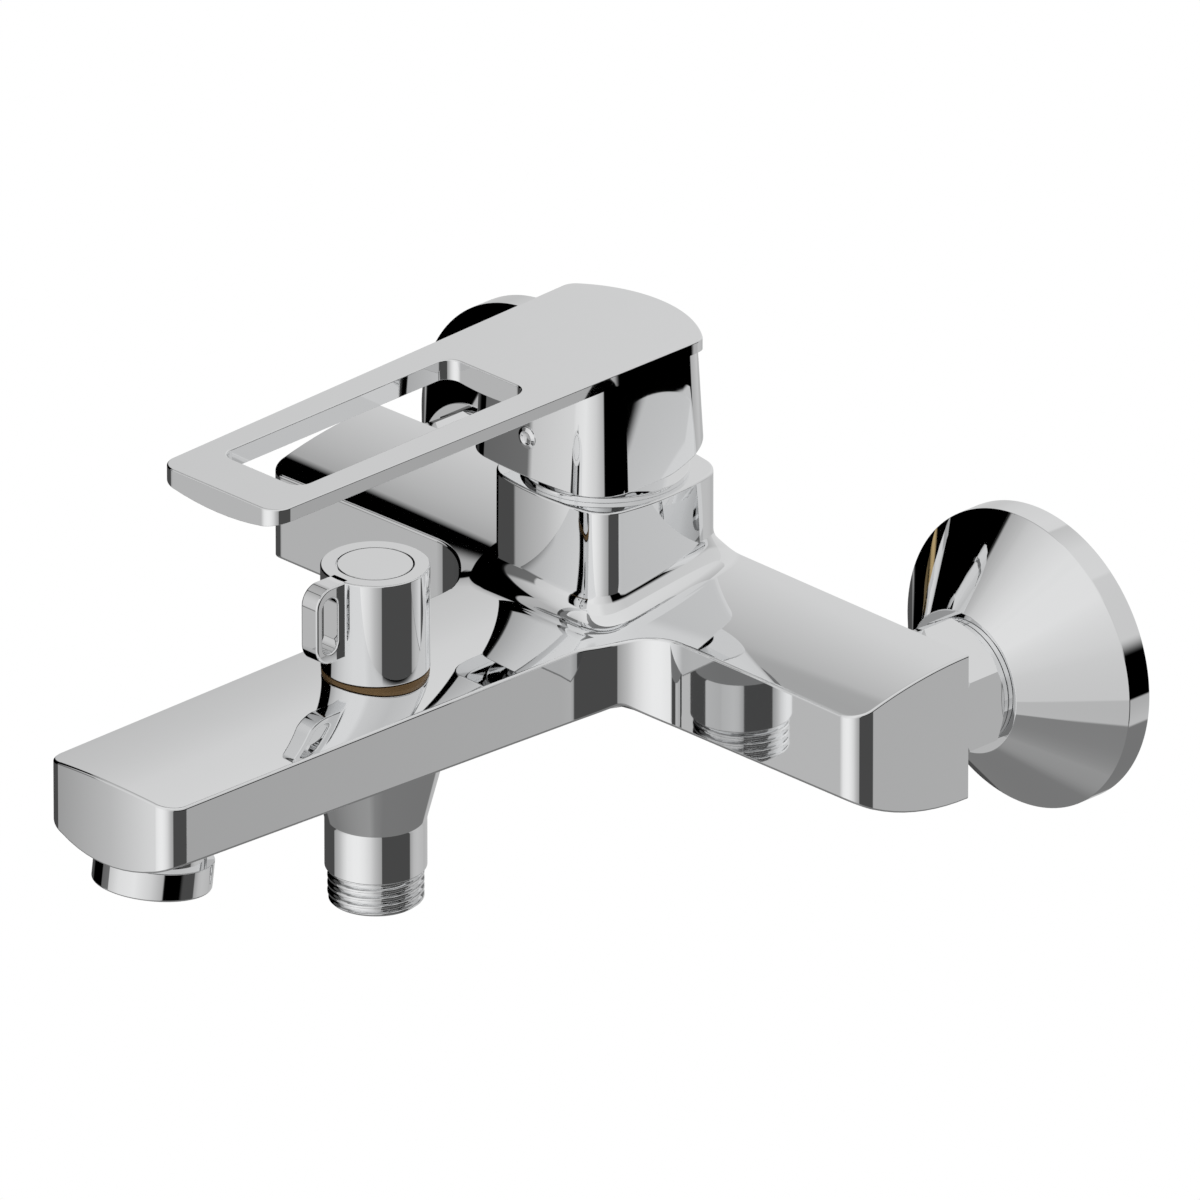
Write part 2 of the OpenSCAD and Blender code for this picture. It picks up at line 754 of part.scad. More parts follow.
module lever_handle() {
    color(chrome) at_neck() difference() {
        union() {
            translate([0, 0, lever_top]) rotate([lever_slope, 0, 0]) blade();
            hub();
            translate([0, 0, socket_z]) cylinder(r = socket_r, h = lever_top - roof_t - socket_z + cut);
        }
        // slot through the blade
        translate([0, -slot_near - slot_l / 2, lever_top - roof_t - 6]) linear_extrude(roof_t + 12)
            rounded_rect(slot_w, slot_l / 2, slot_corner_r);
        // square hole for the spindle
        translate([-spindle_w / 2, -spindle_w / 2, socket_z - cut])
            cube([spindle_w, spindle_w, spindle_top - socket_z + cut + gap]);
        // hole of the set screw, wider where the index plug sits
        translate([0, 0, screw_z]) rotate([90, 0, 0])
            cylinder(r = screw_r + fit, h = hub_front + cut);
        translate([0, -hub_front + plug_seat, screw_z]) rotate([90, 0, 0])
            cylinder(r = plug_r + fit, h = plug_seat + cut);
    }
}

module lever_set_screw() {
    color(steel) at_neck() translate([0, -spindle_w / 2, screw_z]) rotate([90, 0, 0])
        difference() {
            cylinder(r = screw_r, h = screw_l);
            translate([0, 0, screw_l - 3]) rotate([0, 0, 30]) cylinder(r = 1.15, h = 4, $fn = 6);
        }
}

module index_plug() {
    color(chrome) at_neck() translate([0, -hub_front + plug_seat, screw_z]) rotate([90, 0, 0])
        cylinder(r = plug_r, h = plug_seat + plug_proud);
}

// ---------------------------------------------------------------- diverter

module diverter_bonnet() {
    color(brass) at_diverter() translate([0, 0, bonnet_top - bonnet_t])
        tube(bore_r, stem_r + fit, bonnet_t);
}

module diverter_base_ring() {
    color([0.45, 0.36, 0.2]) at_diverter() translate([0, 0, bonnet_top]) {
        tube(ring_r, stem_r + 1, spout_top - bonnet_top + ring_t);
        translate([0, 0, -ring_skirt]) tube(ring_r, bore_r + fit, ring_skirt + 0.1);
    }
}

// plug with a port that lets the water on to the spout or down to the shower
module diverter_rotor() {
    way = spout_way_r - 1.2;
    color(brass) at_diverter() difference() {
        union() {
            translate([0, 0, rotor_bottom]) cylinder(r = bore_r, h = rotor_body_top - rotor_bottom);
            cylinder(r = stem_r, h = stem_top);
        }
        translate([0, bore_r + cut, rotor_way_z]) rotate([90, 0, 0])
            cylinder(r = way, h = 2 * bore_r + 2 * cut);
        translate([0, 0, stem_top - screw_bite - 2])
            cylinder(r = screw_shank_r, h = screw_bite + 2 + cut);
    }
}

module loop_plate() {
    h = knob_top - loop_bottom;
    reach = knob_r + loop_reach;
    rotate([90, 0, -90]) translate([0, 0, -loop_t / 2]) linear_extrude(loop_t) difference() {
        union() {
            translate([0, loop_bottom]) square([reach - loop_corner_r, h]);
            translate([0, loop_bottom + loop_corner_r]) square([reach, h - 2 * loop_corner_r]);
            for (z = [loop_bottom + loop_corner_r, knob_top - loop_corner_r])
                translate([reach - loop_corner_r, z]) circle(r = loop_corner_r);
        }
        translate([reach - loop_wall - loop_slot_w / 2, (knob_top + loop_bottom) / 2])
            rounded_rect(loop_slot_w / 2, loop_slot_h / 2, loop_slot_w / 2 - 0.1);
    }
}

module diverter_knob() {
    color(chrome) at_diverter() difference() {
        union() {
            translate([0, 0, knob_z]) cylinder(r = knob_r, h = knob_top - knob_z);
            loop_plate();
        }
        translate([0, 0, knob_z - cut]) difference() {
            cylinder(r = knob_r - knob_wall, h = knob_top - knob_roof - knob_z + cut);
            translate([0, 0, 4 + cut]) cylinder(r = knob_boss_r, h = knob_top);
        }
        translate([0, 0, knob_z]) cylinder(r = stem_r, h = stem_top - knob_z);
        translate([0, 0, knob_z]) cylinder(r = screw_shank_r + 0.2, h = knob_top);
        translate([0, 0, screw_head_z]) cylinder(r = screw_head_r + 0.2, h = knob_top);
        translate([0, 0, knob_top - disc_t]) cylinder(r = disc_r, h = disc_t + cut);
    }
}

module knob_screw() {
    slot_z = screw_head_z + screw_head_t - 0.8;
    color(steel) at_diverter() difference() {
        union() {
            translate([0, 0, stem_top - screw_bite])
                cylinder(r = screw_shank_r, h = screw_head_z - stem_top + screw_bite + cut);
            translate([0, 0, screw_head_z]) cylinder(r = screw_head_r, h = screw_head_t);
        }
        translate([-2, -0.4, slot_z]) cube([4, 0.8, 2]);
        translate([-0.4, -2, slot_z]) cube([0.8, 4, 2]);
    }
}

module knob_index_disc() {
    color(chrome) at_diverter() translate([0, 0, knob_top - disc_t])
        cylinder(r = disc_r - 3 * fit, h = disc_t);
}

// ---------------------------------------------------------------- outlets

module outlet_nipple() {
    color(chrome) at_diverter() {
        translate([0, 0, -outlet_drop]) tube(outlet_r, nipple_bore_r, outlet_thread_l);
        translate([0, 0, outlet_face - cut]) tube(nipple_tail_r, nipple_bore_r, nipple_tail_l + cut);
    }
}

module check_valve() {
    color(plastic) at_diverter() translate([0, 0, valve_z]) difference() {
        cylinder(r = valve_r, h = valve_l);
        translate([0, 0, valve_wall]) cylinder(r = valve_bore_r, h = valve_l - 2 * valve_wall);
        translate([0, 0, valve_wall]) cylinder(r = valve_seat_r, h = valve_l);
        translate([0, 0, -cut]) cylinder(r = poppet_stem_r + fit, h = 2 * valve_wall + cut);
        for (k = [0 : 3]) rotate([0, 0, 90 * k]) translate([valve_seat_r, 0, -cut])
            cylinder(r = valve_hole_r, h = 2 * valve_wall + cut);
    }
}

// mushroom that shuts against the seat when water flows back
module check_poppet() {
    color(rubber) at_diverter() {
        translate([0, 0, poppet_z]) cylinder(r = poppet_r, h = poppet_t);
        translate([0, 0, valve_z]) cylinder(r = poppet_stem_r, h = poppet_z - valve_z + 0.1);
    }
}

module aerator_housing() {
    color(chrome) at_aerator() difference() {
        union() {
            cylinder(r = aerator_r, h = aerator_skirt);
            cylinder(r = aerator_thread_r, h = aerator_skirt + aerator_neck - 0.5);
        }
        translate([0, 0, -cut]) cylinder(r = aerator_bore_r - 1, h = 2 * cut + aerator_lip);
        translate([0, 0, aerator_lip]) cylinder(r = aerator_bore_r, h = aerator_skirt + aerator_neck);
    }
}

module aerator_insert() {
    color(plastic) at_aerator() translate([0, 0, aerator_lip]) difference() {
        cylinder(r = aerator_insert_r, h = insert_t);
        for (ring = [[0, 1], [3.4, 6], [6.8, 12]]) for (k = [0 : ring[1] - 1])
            rotate([0, 0, 360 / ring[1] * k]) translate([ring[0], 0, -cut])
                cylinder(r = jet_r, h = insert_t + 2 * cut);
    }
}

module aerator_seal() {
    color(rubber) at_aerator() translate([0, 0, aerator_lip + insert_t])
        tube(aerator_insert_r, aerator_insert_r - 2, seal_t);
}

// ---------------------------------------------------------------- nodes

body_casting();
wall_union(-1);  // left_wall_union
wall_union(1);  // right_wall_union
filter_washer(-1);  // left_filter_washer
filter_washer(1);  // right_filter_washer
tailpiece(-1);  // left_tailpiece
tailpiece(1);  // right_tailpiece
union_nut(-1);  // left_union_nut
union_nut(1);  // right_union_nut
escutcheon(-1);  // left_escutcheon
escutcheon(1);  // right_escutcheon
cartridge_base();
cartridge_seals();
fixed_ceramic_disc();
moving_ceramic_disc();
disc_carrier();
cartridge_housing();
cartridge_rotor();
pivot_pin();
cartridge_spindle();
cartridge_nut();
dome_cap();
lever_handle();
lever_set_screw();
index_plug();
diverter_bonnet();
diverter_base_ring();
diverter_rotor();
diverter_knob();
knob_screw();
knob_index_disc();
outlet_nipple();
check_valve();
check_poppet();
aerator_housing();
aerator_insert();
aerator_seal();
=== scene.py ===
"""Wall mounted bath faucet: the visual pieces, their finishes and the studio.

Lengths in the mesh code are millimetres in the frame of the CAD part: the wall is Y = 0,
the room lies towards -Y, Z is up and the origin is midway between the wall inlets.
"""
import json
import math

import bpy
from mathutils import Matrix, Vector
from mathutils.geometry import delaunay_2d_cdt


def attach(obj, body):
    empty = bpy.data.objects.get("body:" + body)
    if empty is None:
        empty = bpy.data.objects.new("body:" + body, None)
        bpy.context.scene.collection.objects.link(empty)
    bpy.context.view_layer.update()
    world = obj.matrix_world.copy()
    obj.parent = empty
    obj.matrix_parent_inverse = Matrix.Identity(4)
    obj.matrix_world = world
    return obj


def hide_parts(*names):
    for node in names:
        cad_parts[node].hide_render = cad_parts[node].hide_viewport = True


bl_info = {
    "name": "Wall mounted bath faucet",
    "version": (1, 0, 0),
    "blender": (4, 5, 0),
    "location": "View3D > Sidebar > Bath faucet",
    "description": "Builds a chrome bath faucet round its CAD frame",
    "category": "Object",
}

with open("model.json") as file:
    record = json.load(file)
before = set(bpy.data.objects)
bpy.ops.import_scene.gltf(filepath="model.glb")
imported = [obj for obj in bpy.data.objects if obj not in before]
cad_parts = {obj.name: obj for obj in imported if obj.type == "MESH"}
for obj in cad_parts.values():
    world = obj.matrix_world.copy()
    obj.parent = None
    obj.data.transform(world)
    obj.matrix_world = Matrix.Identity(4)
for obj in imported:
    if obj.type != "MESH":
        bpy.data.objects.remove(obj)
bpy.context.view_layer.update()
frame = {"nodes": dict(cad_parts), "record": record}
MM = 0.001


# ------------------------------------------------------------------ sizes and colours

class FaucetSizes(bpy.types.PropertyGroup):
    edge: bpy.props.FloatProperty(
        name="Body edge", description="Radius of the soft edges of the tap body, in mm",
        default=0.55, min=0.05, max=2.0)
    lever_edge: bpy.props.FloatProperty(
        name="Lever edge", description="Radius of the soft edges of the lever, in mm",
        default=0.35, min=0.05, max=1.5)
    turned_edge: bpy.props.FloatProperty(
        name="Turned edge", description="Radius of the soft edges of turned pieces, in mm",
        default=0.35, min=0.05, max=1.0)
    blend: bpy.props.FloatProperty(
        name="Crown blend", description="Width over which the crowns of the body merge, in mm",
        default=1.6, min=0.1, max=8.0)
    arm_droop: bpy.props.FloatProperty(
        name="Arm droop", description="How far the top of an arm falls at its end, in mm",
        default=0.9, min=0.0, max=3.0)
    thread_depth: bpy.props.FloatProperty(
        name="Thread depth", description="Depth of the outlet thread, in mm",
        default=0.9, min=0.2, max=1.2)
    thread_pitch: bpy.props.FloatProperty(
        name="Thread pitch", description="Pitch of the outlet thread, in mm",
        default=1.814, min=1.0, max=3.0)


class FinishColours(bpy.types.PropertyGroup):
    chrome: bpy.props.FloatVectorProperty(
        name="Chrome", description="Colour of the plated brass", subtype="COLOR",
        default=(0.90, 0.905, 0.91), min=0, max=1)
    brass: bpy.props.FloatVectorProperty(
        name="Brass", description="Colour of machined brass", subtype="COLOR",
        default=(0.72, 0.53, 0.26), min=0, max=1)
    seat_ring: bpy.props.FloatVectorProperty(
        name="Seat ring", description="Colour of the oiled ring under the knob", subtype="COLOR",
        default=(0.20, 0.12, 0.05), min=0, max=1)
    ceramic: bpy.props.FloatVectorProperty(
        name="Ceramic", description="Colour of the ceramic discs", subtype="COLOR",
        default=(0.86, 0.84, 0.78), min=0, max=1)
    plastic: bpy.props.FloatVectorProperty(
        name="Plastic", description="Colour of the cartridge and the aerator insert",
        subtype="COLOR", default=(0.80, 0.80, 0.76), min=0, max=1)
    rubber: bpy.props.FloatVectorProperty(
        name="Rubber", description="Colour of the seals", subtype="COLOR",
        default=(0.02, 0.02, 0.022), min=0, max=1)
    steel: bpy.props.FloatVectorProperty(
        name="Steel", description="Colour of pins and screws", subtype="COLOR",
        default=(0.56, 0.57, 0.59), min=0, max=1)


# ------------------------------------------------------------------ node trees

class Sock:
    """A shader socket that can stand in a sum."""

    def __init__(self, tree, out):
        self.tree, self.out = tree, out

    def _math(self, operation, a, b):
        return self.tree.add("ShaderNodeMath", {"operation": operation}, {0: a, 1: b})

    def __add__(self, other):
        return self._math("ADD", self, other)

    __radd__ = __add__

    def __mul__(self, other):
        return self._math("MULTIPLY", self, other)

    __rmul__ = __mul__

    def __sub__(self, other):
        return self._math("SUBTRACT", self, other)

    def __rsub__(self, other):
        return self._math("SUBTRACT", other, self)

    def __truediv__(self, other):
        return self._math("DIVIDE", self, other)

    def __rtruediv__(self, other):
        return self._math("DIVIDE", other, self)

    def other(self, key):
        """Another output of the same node."""
        return Sock(self.tree, self.out.node.outputs[key])


class Tree:
    """A node tree that is filled node by node."""

    def __init__(self, owner):
        owner.use_nodes = True
        self.nodes, self.links = owner.node_tree.nodes, owner.node_tree.links
        self.nodes.clear()

    def add(self, kind, settings=None, inputs=None, out=0):
        node = self.nodes.new(kind)
        for key, value in (settings or {}).items():
            if key == "stops":
                ramp = node.color_ramp
                while len(ramp.elements) > 1:
                    ramp.elements.remove(ramp.elements[-1])
                for k, (place, colour) in enumerate(value):
                    stop = ramp.elements[0] if k == 0 else ramp.elements.new(place)
                    stop.position, stop.color = place, colour
            elif key == "interpolation":
                node.color_ramp.interpolation = value
            else:
                setattr(node, key, value)
        for key, value in (inputs or {}).items():
            if isinstance(value, Sock):
                self.links.new(value.out, node.inputs[key])
            else:
                node.inputs[key].default_value = value
        return Sock(self, node.outputs[out]) if node.outputs else None

    def mix(self, share, a, b):
        """Colour a where share is 0 and colour b where it is 1."""
        factor, first, second, mixed = 0, 6, 7, 2
        return self.add("ShaderNodeMix", {"data_type": "RGBA"},
                        {factor: share, first: a, second: b}, out=mixed)


def hue(colour):
    """The colour with its alpha."""
    return tuple(colour) + (1.0,)


def linear(shown):
    """The light that shows as this grey on a screen."""
    return ((shown + 0.055) / 1.055) ** 2.4 if shown > 0.04045 else shown / 12.92


BROAD_TO_FINE = 12.0    # how much coarser the slow variation of a finish is
GRAIN_DEPTH = 0.00002   # height of the grain of a finish, in m


def finish_of(name, colour, metallic, roughness, grain, bump, spread=0.0, coat=0.0, stretch=1.0):
    """A finish whose roughness, tint and relief vary a little over the surface."""
    made = bpy.data.materials.get(name)
    if made:
        return made
    made = bpy.data.materials.new(name)
    tree = Tree(made)
    place = tree.add("ShaderNodeTexCoord", out="Object")
    if stretch != 1.0:
        place = tree.add("ShaderNodeMapping", {"vector_type": "POINT"},
                         {"Vector": place, "Scale": (1.0, 1.0, stretch)})
    fine = tree.add("ShaderNodeTexNoise", {"noise_dimensions": "3D"},
                    {"Vector": place, "Scale": grain, "Detail": 4.0, "Roughness": 0.6})
    broad = tree.add("ShaderNodeTexNoise", {"noise_dimensions": "3D"},
                     {"Vector": place, "Scale": grain / BROAD_TO_FINE, "Detail": 2.0})
    smoothest, roughest = roughness
    rough = smoothest + (roughest - smoothest) * (fine * 0.6 + broad * 0.4)
    dark = tuple(c * (1.0 - spread) for c in colour)
    tint = tree.mix(broad, hue(dark), hue(colour))
    inputs = {"Base Color": tint, "Roughness": rough, "Metallic": metallic,
              "Coat Weight": coat, "Coat Roughness": 0.05}
    if bump:
        inputs["Normal"] = tree.add("ShaderNodeBump", {}, {
            "Strength": bump, "Distance": GRAIN_DEPTH, "Height": fine})
    shader = tree.add("ShaderNodeBsdfPrincipled", {}, inputs)
    tree.add("ShaderNodeOutputMaterial", {}, {"Surface": shader})
    return made


def finishes():
    """The finish for each material slot."""
    look = bpy.context.scene.faucet_colours
    return {
        "chrome": finish_of("polished chrome", look.chrome, 1.0, (0.012, 0.03), 900, 0.0, 0.012),
        "brass": finish_of("machined brass", look.brass, 1.0, (0.22, 0.42), 700, 0.5, 0.15,
                           stretch=14.0),
        "seat_ring": finish_of("oiled seat ring", look.seat_ring, 0.6, (0.3, 0.5), 500, 0.4, 0.2),
        "ceramic": finish_of("lapped ceramic", look.ceramic, 0.0, (0.12, 0.22), 800, 0.1, 0.04),
        "plastic": finish_of("moulded plastic", look.plastic, 0.0, (0.35, 0.55), 600, 0.4, 0.05),
        "rubber": finish_of("seal rubber", look.rubber, 0.0, (0.55, 0.8), 500, 0.6, 0.3),
        "steel": finish_of("turned steel", look.steel, 1.0, (0.2, 0.35), 700, 0.4, 0.1,
                           stretch=14.0),
    }


# ------------------------------------------------------------------ meshes with exact normals

EDGE_STEPS = 4      # faces across a soft edge
FILLET_STEPS = 10   # faces across the hollow fillet of the neck


class Skin:
    """Faces with a normal at each corner, so that curved chrome mirrors without facets."""

    def __init__(self, place=None):
        self.place = place or Matrix.Identity(4)
        self.turn = self.place.to_3x3()
        self.points, self.index, self.faces, self.normals = [], {}, [], []

    def vertex(self, point):
        moved = self.place @ Vector(point)
        key = (round(moved.x, 3), round(moved.y, 3), round(moved.z, 3))
        if key not in self.index:
            self.index[key] = len(self.points)
            self.points.append(moved)
        return self.index[key]

    def face(self, corners, normals):
        kept = []
        for point, normal in zip(corners, normals):
            number = self.vertex(point)
            if number not in [k for k, _ in kept]:
                kept.append((number, (self.turn @ Vector(normal)).normalized()))
        if len(kept) < 3:
            return
        a, b, c = (self.points[kept[k][0]] for k in (0, 1, 2))
        across = (b - a).cross(c - a)
        if len(kept) == 4:
            across = (self.points[kept[2][0]] - a).cross(self.points[kept[3][0]] - b)
        if across.length < 1e-7:
            return
        if across.dot(sum((n for _, n in kept), Vector((0, 0, 0)))) < 0:
            kept.reverse()
        self.faces.append([k for k, _ in kept])
        self.normals.extend(n for _, n in kept)

    def strip(self, rows, closed=False):
        """Quads between rows of (point, normal)."""
        for low, high in zip(rows, rows[1:]):
            count = len(low)
            for k in range(count if closed else count - 1):
                m = (k + 1) % count
                four = (low[k], low[m], high[m], high[k])
                self.face([p for p, _ in four], [n for _, n in four])

    def cap(self, loops, height, normal_at, grid=0.0, margin=0.8):
        """Fills the region inside plane loops, raised to height(x, y). A grid of points,
        none nearer to a loop than the margin, keeps the triangles small."""
        points, edges = [], []
        for loop in loops:
            start = len(points)
            points.extend(Vector(p) for p in loop)
            edges.extend((start + k, start + (k + 1) % len(loop)) for k in range(len(loop)))
        sides = [(points[a], points[b]) for a, b in edges]
        if grid:
            xs = [p.x for p in points]
            ys = [p.y for p in points]
            columns = int((max(xs) - min(xs)) / grid)
            rows = int((max(ys) - min(ys)) / grid)
            for i in range(1, columns):
                for j in range(1, rows):
                    spot = Vector((min(xs) + i * grid, min(ys) + (j + 0.5 * (i % 2)) * grid))
                    if inside(spot, sides) and clear_of(spot, sides, margin):
                        points.append(spot)
        found, _, triangles, _, _, _ = delaunay_2d_cdt(points, edges, [], 0, 1e-5)
        for triangle in triangles:
            corners = [found[k] for k in triangle]
            middle = sum(corners, Vector((0, 0))) / 3.0
            if inside(middle, sides):
                self.face([(c.x, c.y, height(c.x, c.y)) for c in corners],
                          [normal_at(c.x, c.y) for c in corners])

    def build(self, name, body, slot, replaced=()):
        mesh = bpy.data.meshes.new(name)
        mesh.from_pydata([p * MM for p in self.points], [], self.faces)
        if len(mesh.polygons) != len(self.faces):
            raise RuntimeError(name + " lost faces")
        mesh.polygons.foreach_set("use_smooth", [True] * len(mesh.polygons))
        mesh.normals_split_custom_set([tuple(n) for n in self.normals])
        mesh.materials.append(finishes()[slot])
        piece = bpy.data.objects.new(name, mesh)
        bpy.context.collection.objects.link(piece)
        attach(piece, body)
        if replaced:
            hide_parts(*replaced)
        return piece


def inside(spot, sides):
    """Whether the spot lies inside the loops made by the sides."""
    hit = False
    for a, b in sides:
        if (a.y > spot.y) != (b.y > spot.y):
            if spot.x < (b.x - a.x) * (spot.y - a.y) / (b.y - a.y) + a.x:
                hit = not hit
    return hit


def clear_of(spot, sides, margin):
    """Whether the spot keeps the margin from every side."""
    for a, b in sides:
        if min(a.x, b.x) - margin > spot.x or max(a.x, b.x) + margin < spot.x:
            continue
        if min(a.y, b.y) - margin > spot.y or max(a.y, b.y) + margin < spot.y:
            continue
        along = b - a
        share = max(0.0, min(1.0, (spot - a).dot(along) / max(along.length_squared, 1e-9)))
        if (a + along * share - spot).length < margin:
            return False
    return True


def arc(cx, cy, radius, start, end, step=4.0):
    """Stations (x, y, nx, ny) along an arc; angles in degrees, outward when it runs up."""
    count = max(2, int(abs(end - start) / step) + 1)
    sign = 1.0 if end > start else -1.0
    found = []
    for k in range(count + 1):
        angle = math.radians(start + (end - start) * k / count)
        c, s = math.cos(angle), math.sin(angle)
        found.append((cx + radius * c, cy + radius * s, sign * c, sign * s))
    return found


def line(x0, y0, x1, y1, step=3.0):
    """Stations along a straight stretch, with the normal on its right."""
    length = math.hypot(x1 - x0, y1 - y0)
    nx, ny = (y1 - y0) / length, -(x1 - x0) / length
    count = max(1, int(length / step))
    return [(x0 + (x1 - x0) * k / count, y0 + (y1 - y0) * k / count, nx, ny)
            for k in range(count + 1)]


def joined(*stretches):
    """One run of stations; where two stretches meet smoothly the double point goes."""
    run = []
    for stretch in stretches:
        for s in stretch:
            if run and math.hypot(s[0] - run[-1][0], s[1] - run[-1][1]) < 0.02 \
                    and s[2] * run[-1][2] + s[3] * run[-1][3] > 0.97:
                continue
            run.append(s)
    return run


def slope_normal(height):
    """The upward normal of a height function, from its slope."""
    def normal_at(x, y):
        d = 0.02
        return (-(height(x + d, y) - height(x - d, y)) / (2 * d),
                -(height(x, y + d) - height(x, y - d)) / (2 * d), 1.0)
    return normal_at


def flipped(normal_at):
    """The same normal turned to face down."""
    def down(x, y):
        n = normal_at(x, y)
        return (-n[0], -n[1], -n[2])
    return down


def turned(skin, profile, around=96, start=0.0, end=360.0):
    """Turns stations (r, z, nr, nz) about the local Z axis."""
    closed = abs(end - start - 360.0) < 1e-6
    steps = around if closed else around + 1
    rows = []
    for r, z, nr, nz in profile:
        row = []
        for k in range(steps):
            angle = math.radians(start + (end - start) * k / around)
            c, s = math.cos(angle), math.sin(angle)
            row.append(((r * c, r * s, z), (nr * c, nr * s, nz)))
        rows.append(row)
    for low, high in zip(rows, rows[1:]):
        gap = Vector(low[0][0]) - Vector(high[0][0])
        if gap.length > 1e-6:
            skin.strip([low, high], closed)


def softened(points, radius, steps=5):
    """Stations of an open profile whose corners are rounded; each point is (r, z) or
    (r, z, its own radius). The normal lies on the right of the run."""
    run = []
    count = len(points)
    ways = []
    for k in range(count - 1):
        dx, dz = points[k + 1][0] - points[k][0], points[k + 1][1] - points[k][1]
        size = math.hypot(dx, dz)
        ways.append((dx / size, dz / size, size))
    run.append((points[0][0], points[0][1], ways[0][1], -ways[0][0]))
    for k in range(1, count - 1):
        r, z = points[k][0], points[k][1]
        own = points[k][2] if len(points[k]) > 2 else radius
        ux, uz, ul = ways[k - 1]
        vx, vz, vl = ways[k]
        turn = math.atan2(ux * vz - uz * vx, ux * vx + uz * vz)
        reach = min(own * math.tan(abs(turn) / 2), 0.45 * ul, 0.45 * vl)
        n0, n1 = (uz, -ux), (vz, -vx)
        if own <= 0 or abs(turn) < 0.02:
            run.append((r, z, *n0))
            run.append((r, z, *n1))
            continue
        bend = reach / math.tan(abs(turn) / 2)
        side = 1.0 if turn > 0 else -1.0
        cx, cz = r - ux * reach - n0[0] * bend * side, z - uz * reach - n0[1] * bend * side
        a0 = math.atan2(n0[1], n0[0])
        for j in range(steps + 1):
            angle = a0 + turn * j / steps
            nx, nz = math.cos(angle), math.sin(angle)
            run.append((cx + nx * bend * side, cz + nz * bend * side, nx, nz))
    run.append((points[-1][0], points[-1][1], ways[-1][1], -ways[-1][0]))
    return run


def upright(x, y):
    """The lean of a wall that stands straight."""
    return 0.0


def edge_rows(loop, top, bottom, edge_top, edge_bottom, draft=upright):
    """Rows of stations down the side of a plate: soft top edge, wall, soft bottom edge."""
    up, down = slope_normal(top), slope_normal(bottom)
    rows = [[] for _ in range(2 * EDGE_STEPS + 2)]
    for x, y, nx, ny in loop:
        lean = draft(x, y)
        out = lean * (top(x, y) - bottom(x, y))
        soft = edge_bottom(x, y) if callable(edge_bottom) else edge_bottom
        for k in range(EDGE_STEPS + 1):
            t = math.pi / 2 * k / EDGE_STEPS
            c, s = math.cos(t), math.sin(t)
            px, py = x - nx * edge_top * (1 - s), y - ny * edge_top * (1 - s)
            gx, gy, _ = up(px, py)
            rows[k].append(((px, py, top(px, py) - edge_top * (1 - c)),
                            (gx * c + nx * s, gy * c + ny * s, c + lean * s)))
            px, py = x + nx * (out - soft * (1 - s)), y + ny * (out - soft * (1 - s))
            gx, gy, _ = down(px, py)
            rows[-1 - k].append(((px, py, bottom(px, py) + soft * (1 - c)),
                                 (-gx * c + nx * s, -gy * c + ny * s, -c + lean * s)))
    return rows


def slab(skin, loops, top, bottom, edge_top, edge_bottom, grid=0.0, draft=upright):
    """A plate between two height functions, with soft edges along its loops of stations.
    draft(x, y) is how far the wall leans out per mm of depth there. edge_bottom is a
    radius, or a function of x and y that gives it."""
    top_loops, bottom_loops = [], []
    for loop in loops:
        rows = edge_rows(loop, top, bottom, edge_top, edge_bottom, draft)
        skin.strip(rows, closed=True)
        top_loops.append([(p[0], p[1]) for p, _ in rows[0]])
        bottom_loops.append([(p[0], p[1]) for p, _ in rows[-1]])
    skin.cap(top_loops, top, slope_normal(top), grid)
    skin.cap(bottom_loops, bottom, flipped(slope_normal(bottom)), grid)


def blended_max(a, b, width):
    """The larger of two heights, with the crease between them rounded."""
    h = max(0.0, min(1.0, 0.5 + 0.5 * (a - b) / width))
    return b * (1 - h) + a * h + width * h * (1 - h)


def round_root(value):
    """Square root that takes a value just below nought as nought."""
    return math.sqrt(max(0.0, value))


# ------------------------------------------------------------------ places, in mm

INLET_X = 75.0
BODY_BACK = 37.0
ARM_X, ARM_FRONT = 90.8, 70.8
ARM_TOP, ARM_TOP_R = 17.0, 120.0
ARM_BOTTOM, ARM_BOTTOM_R = 18.0, 64.0
SPOUT_REACH = 207.0
SPOUT_TOP, SPOUT_TOP_R = 12.0, 100.0
SPOUT_BOTTOM, SPOUT_BOTTOM_R, SPOUT_SLOPE = 8.0, 42.0, math.radians(2)
NECK_Y, NECK_W, NECK_TOP, NECK_FILLET = 57.0, 19.9, 37.0, 6.0
NECK_CORNER, NECK_LEAN = 8.0, 11.0
DIVERTER_Y = 126.0
ARM_CORNER = 5.2
SPOUT_HALF, SPOUT_TAPER, SPOUT_ROOT_R = 21.0, 1.6, 17.0
TIP_HALF, TIP_SIDE_END, TIP_CORNER_Y, TIP_CORNER = 19.4, 201.0, 200.9, 5.2
TIP_R, TIP_LEAN = 112.5, 7.25

LEVER_TOP, LEVER_THICK = 71.0, 3.4
LEVER_SLOPE = math.tan(math.radians(0.8))
LEVER_REACH, LEVER_TIP_HALF, LEVER_TIP_CORNER = 116.0, 18.0, 4.5
LEVER_HOLLOW_R, LEVER_HOLLOW_RISE = 74.7, 2.2    # hollow along the underside of the blade
SLOT_NEAR, SLOT_FAR, SLOT_HALF, SLOT_CORNER = -35.0, -103.4, 12.0, 3.5
HUB_DRAFT, HUB_HOLLOW_R = 0.055, 14.2
PLUG_AHEAD, PLUG_Z = 21.9, 51.6

BOSS_R, BOSS_LOW, BOSS_WIDE = 11.08, -34.4, 15.5
OUTLET_CREST, OUTLET_LOW, OUTLET_BORE, OUTLET_SEAT = 10.48, -42.4, 6.2, -24.4
AERATOR_Y, AERATOR_Z, AERATOR_TILT = 192.8, -16.6, -8.0

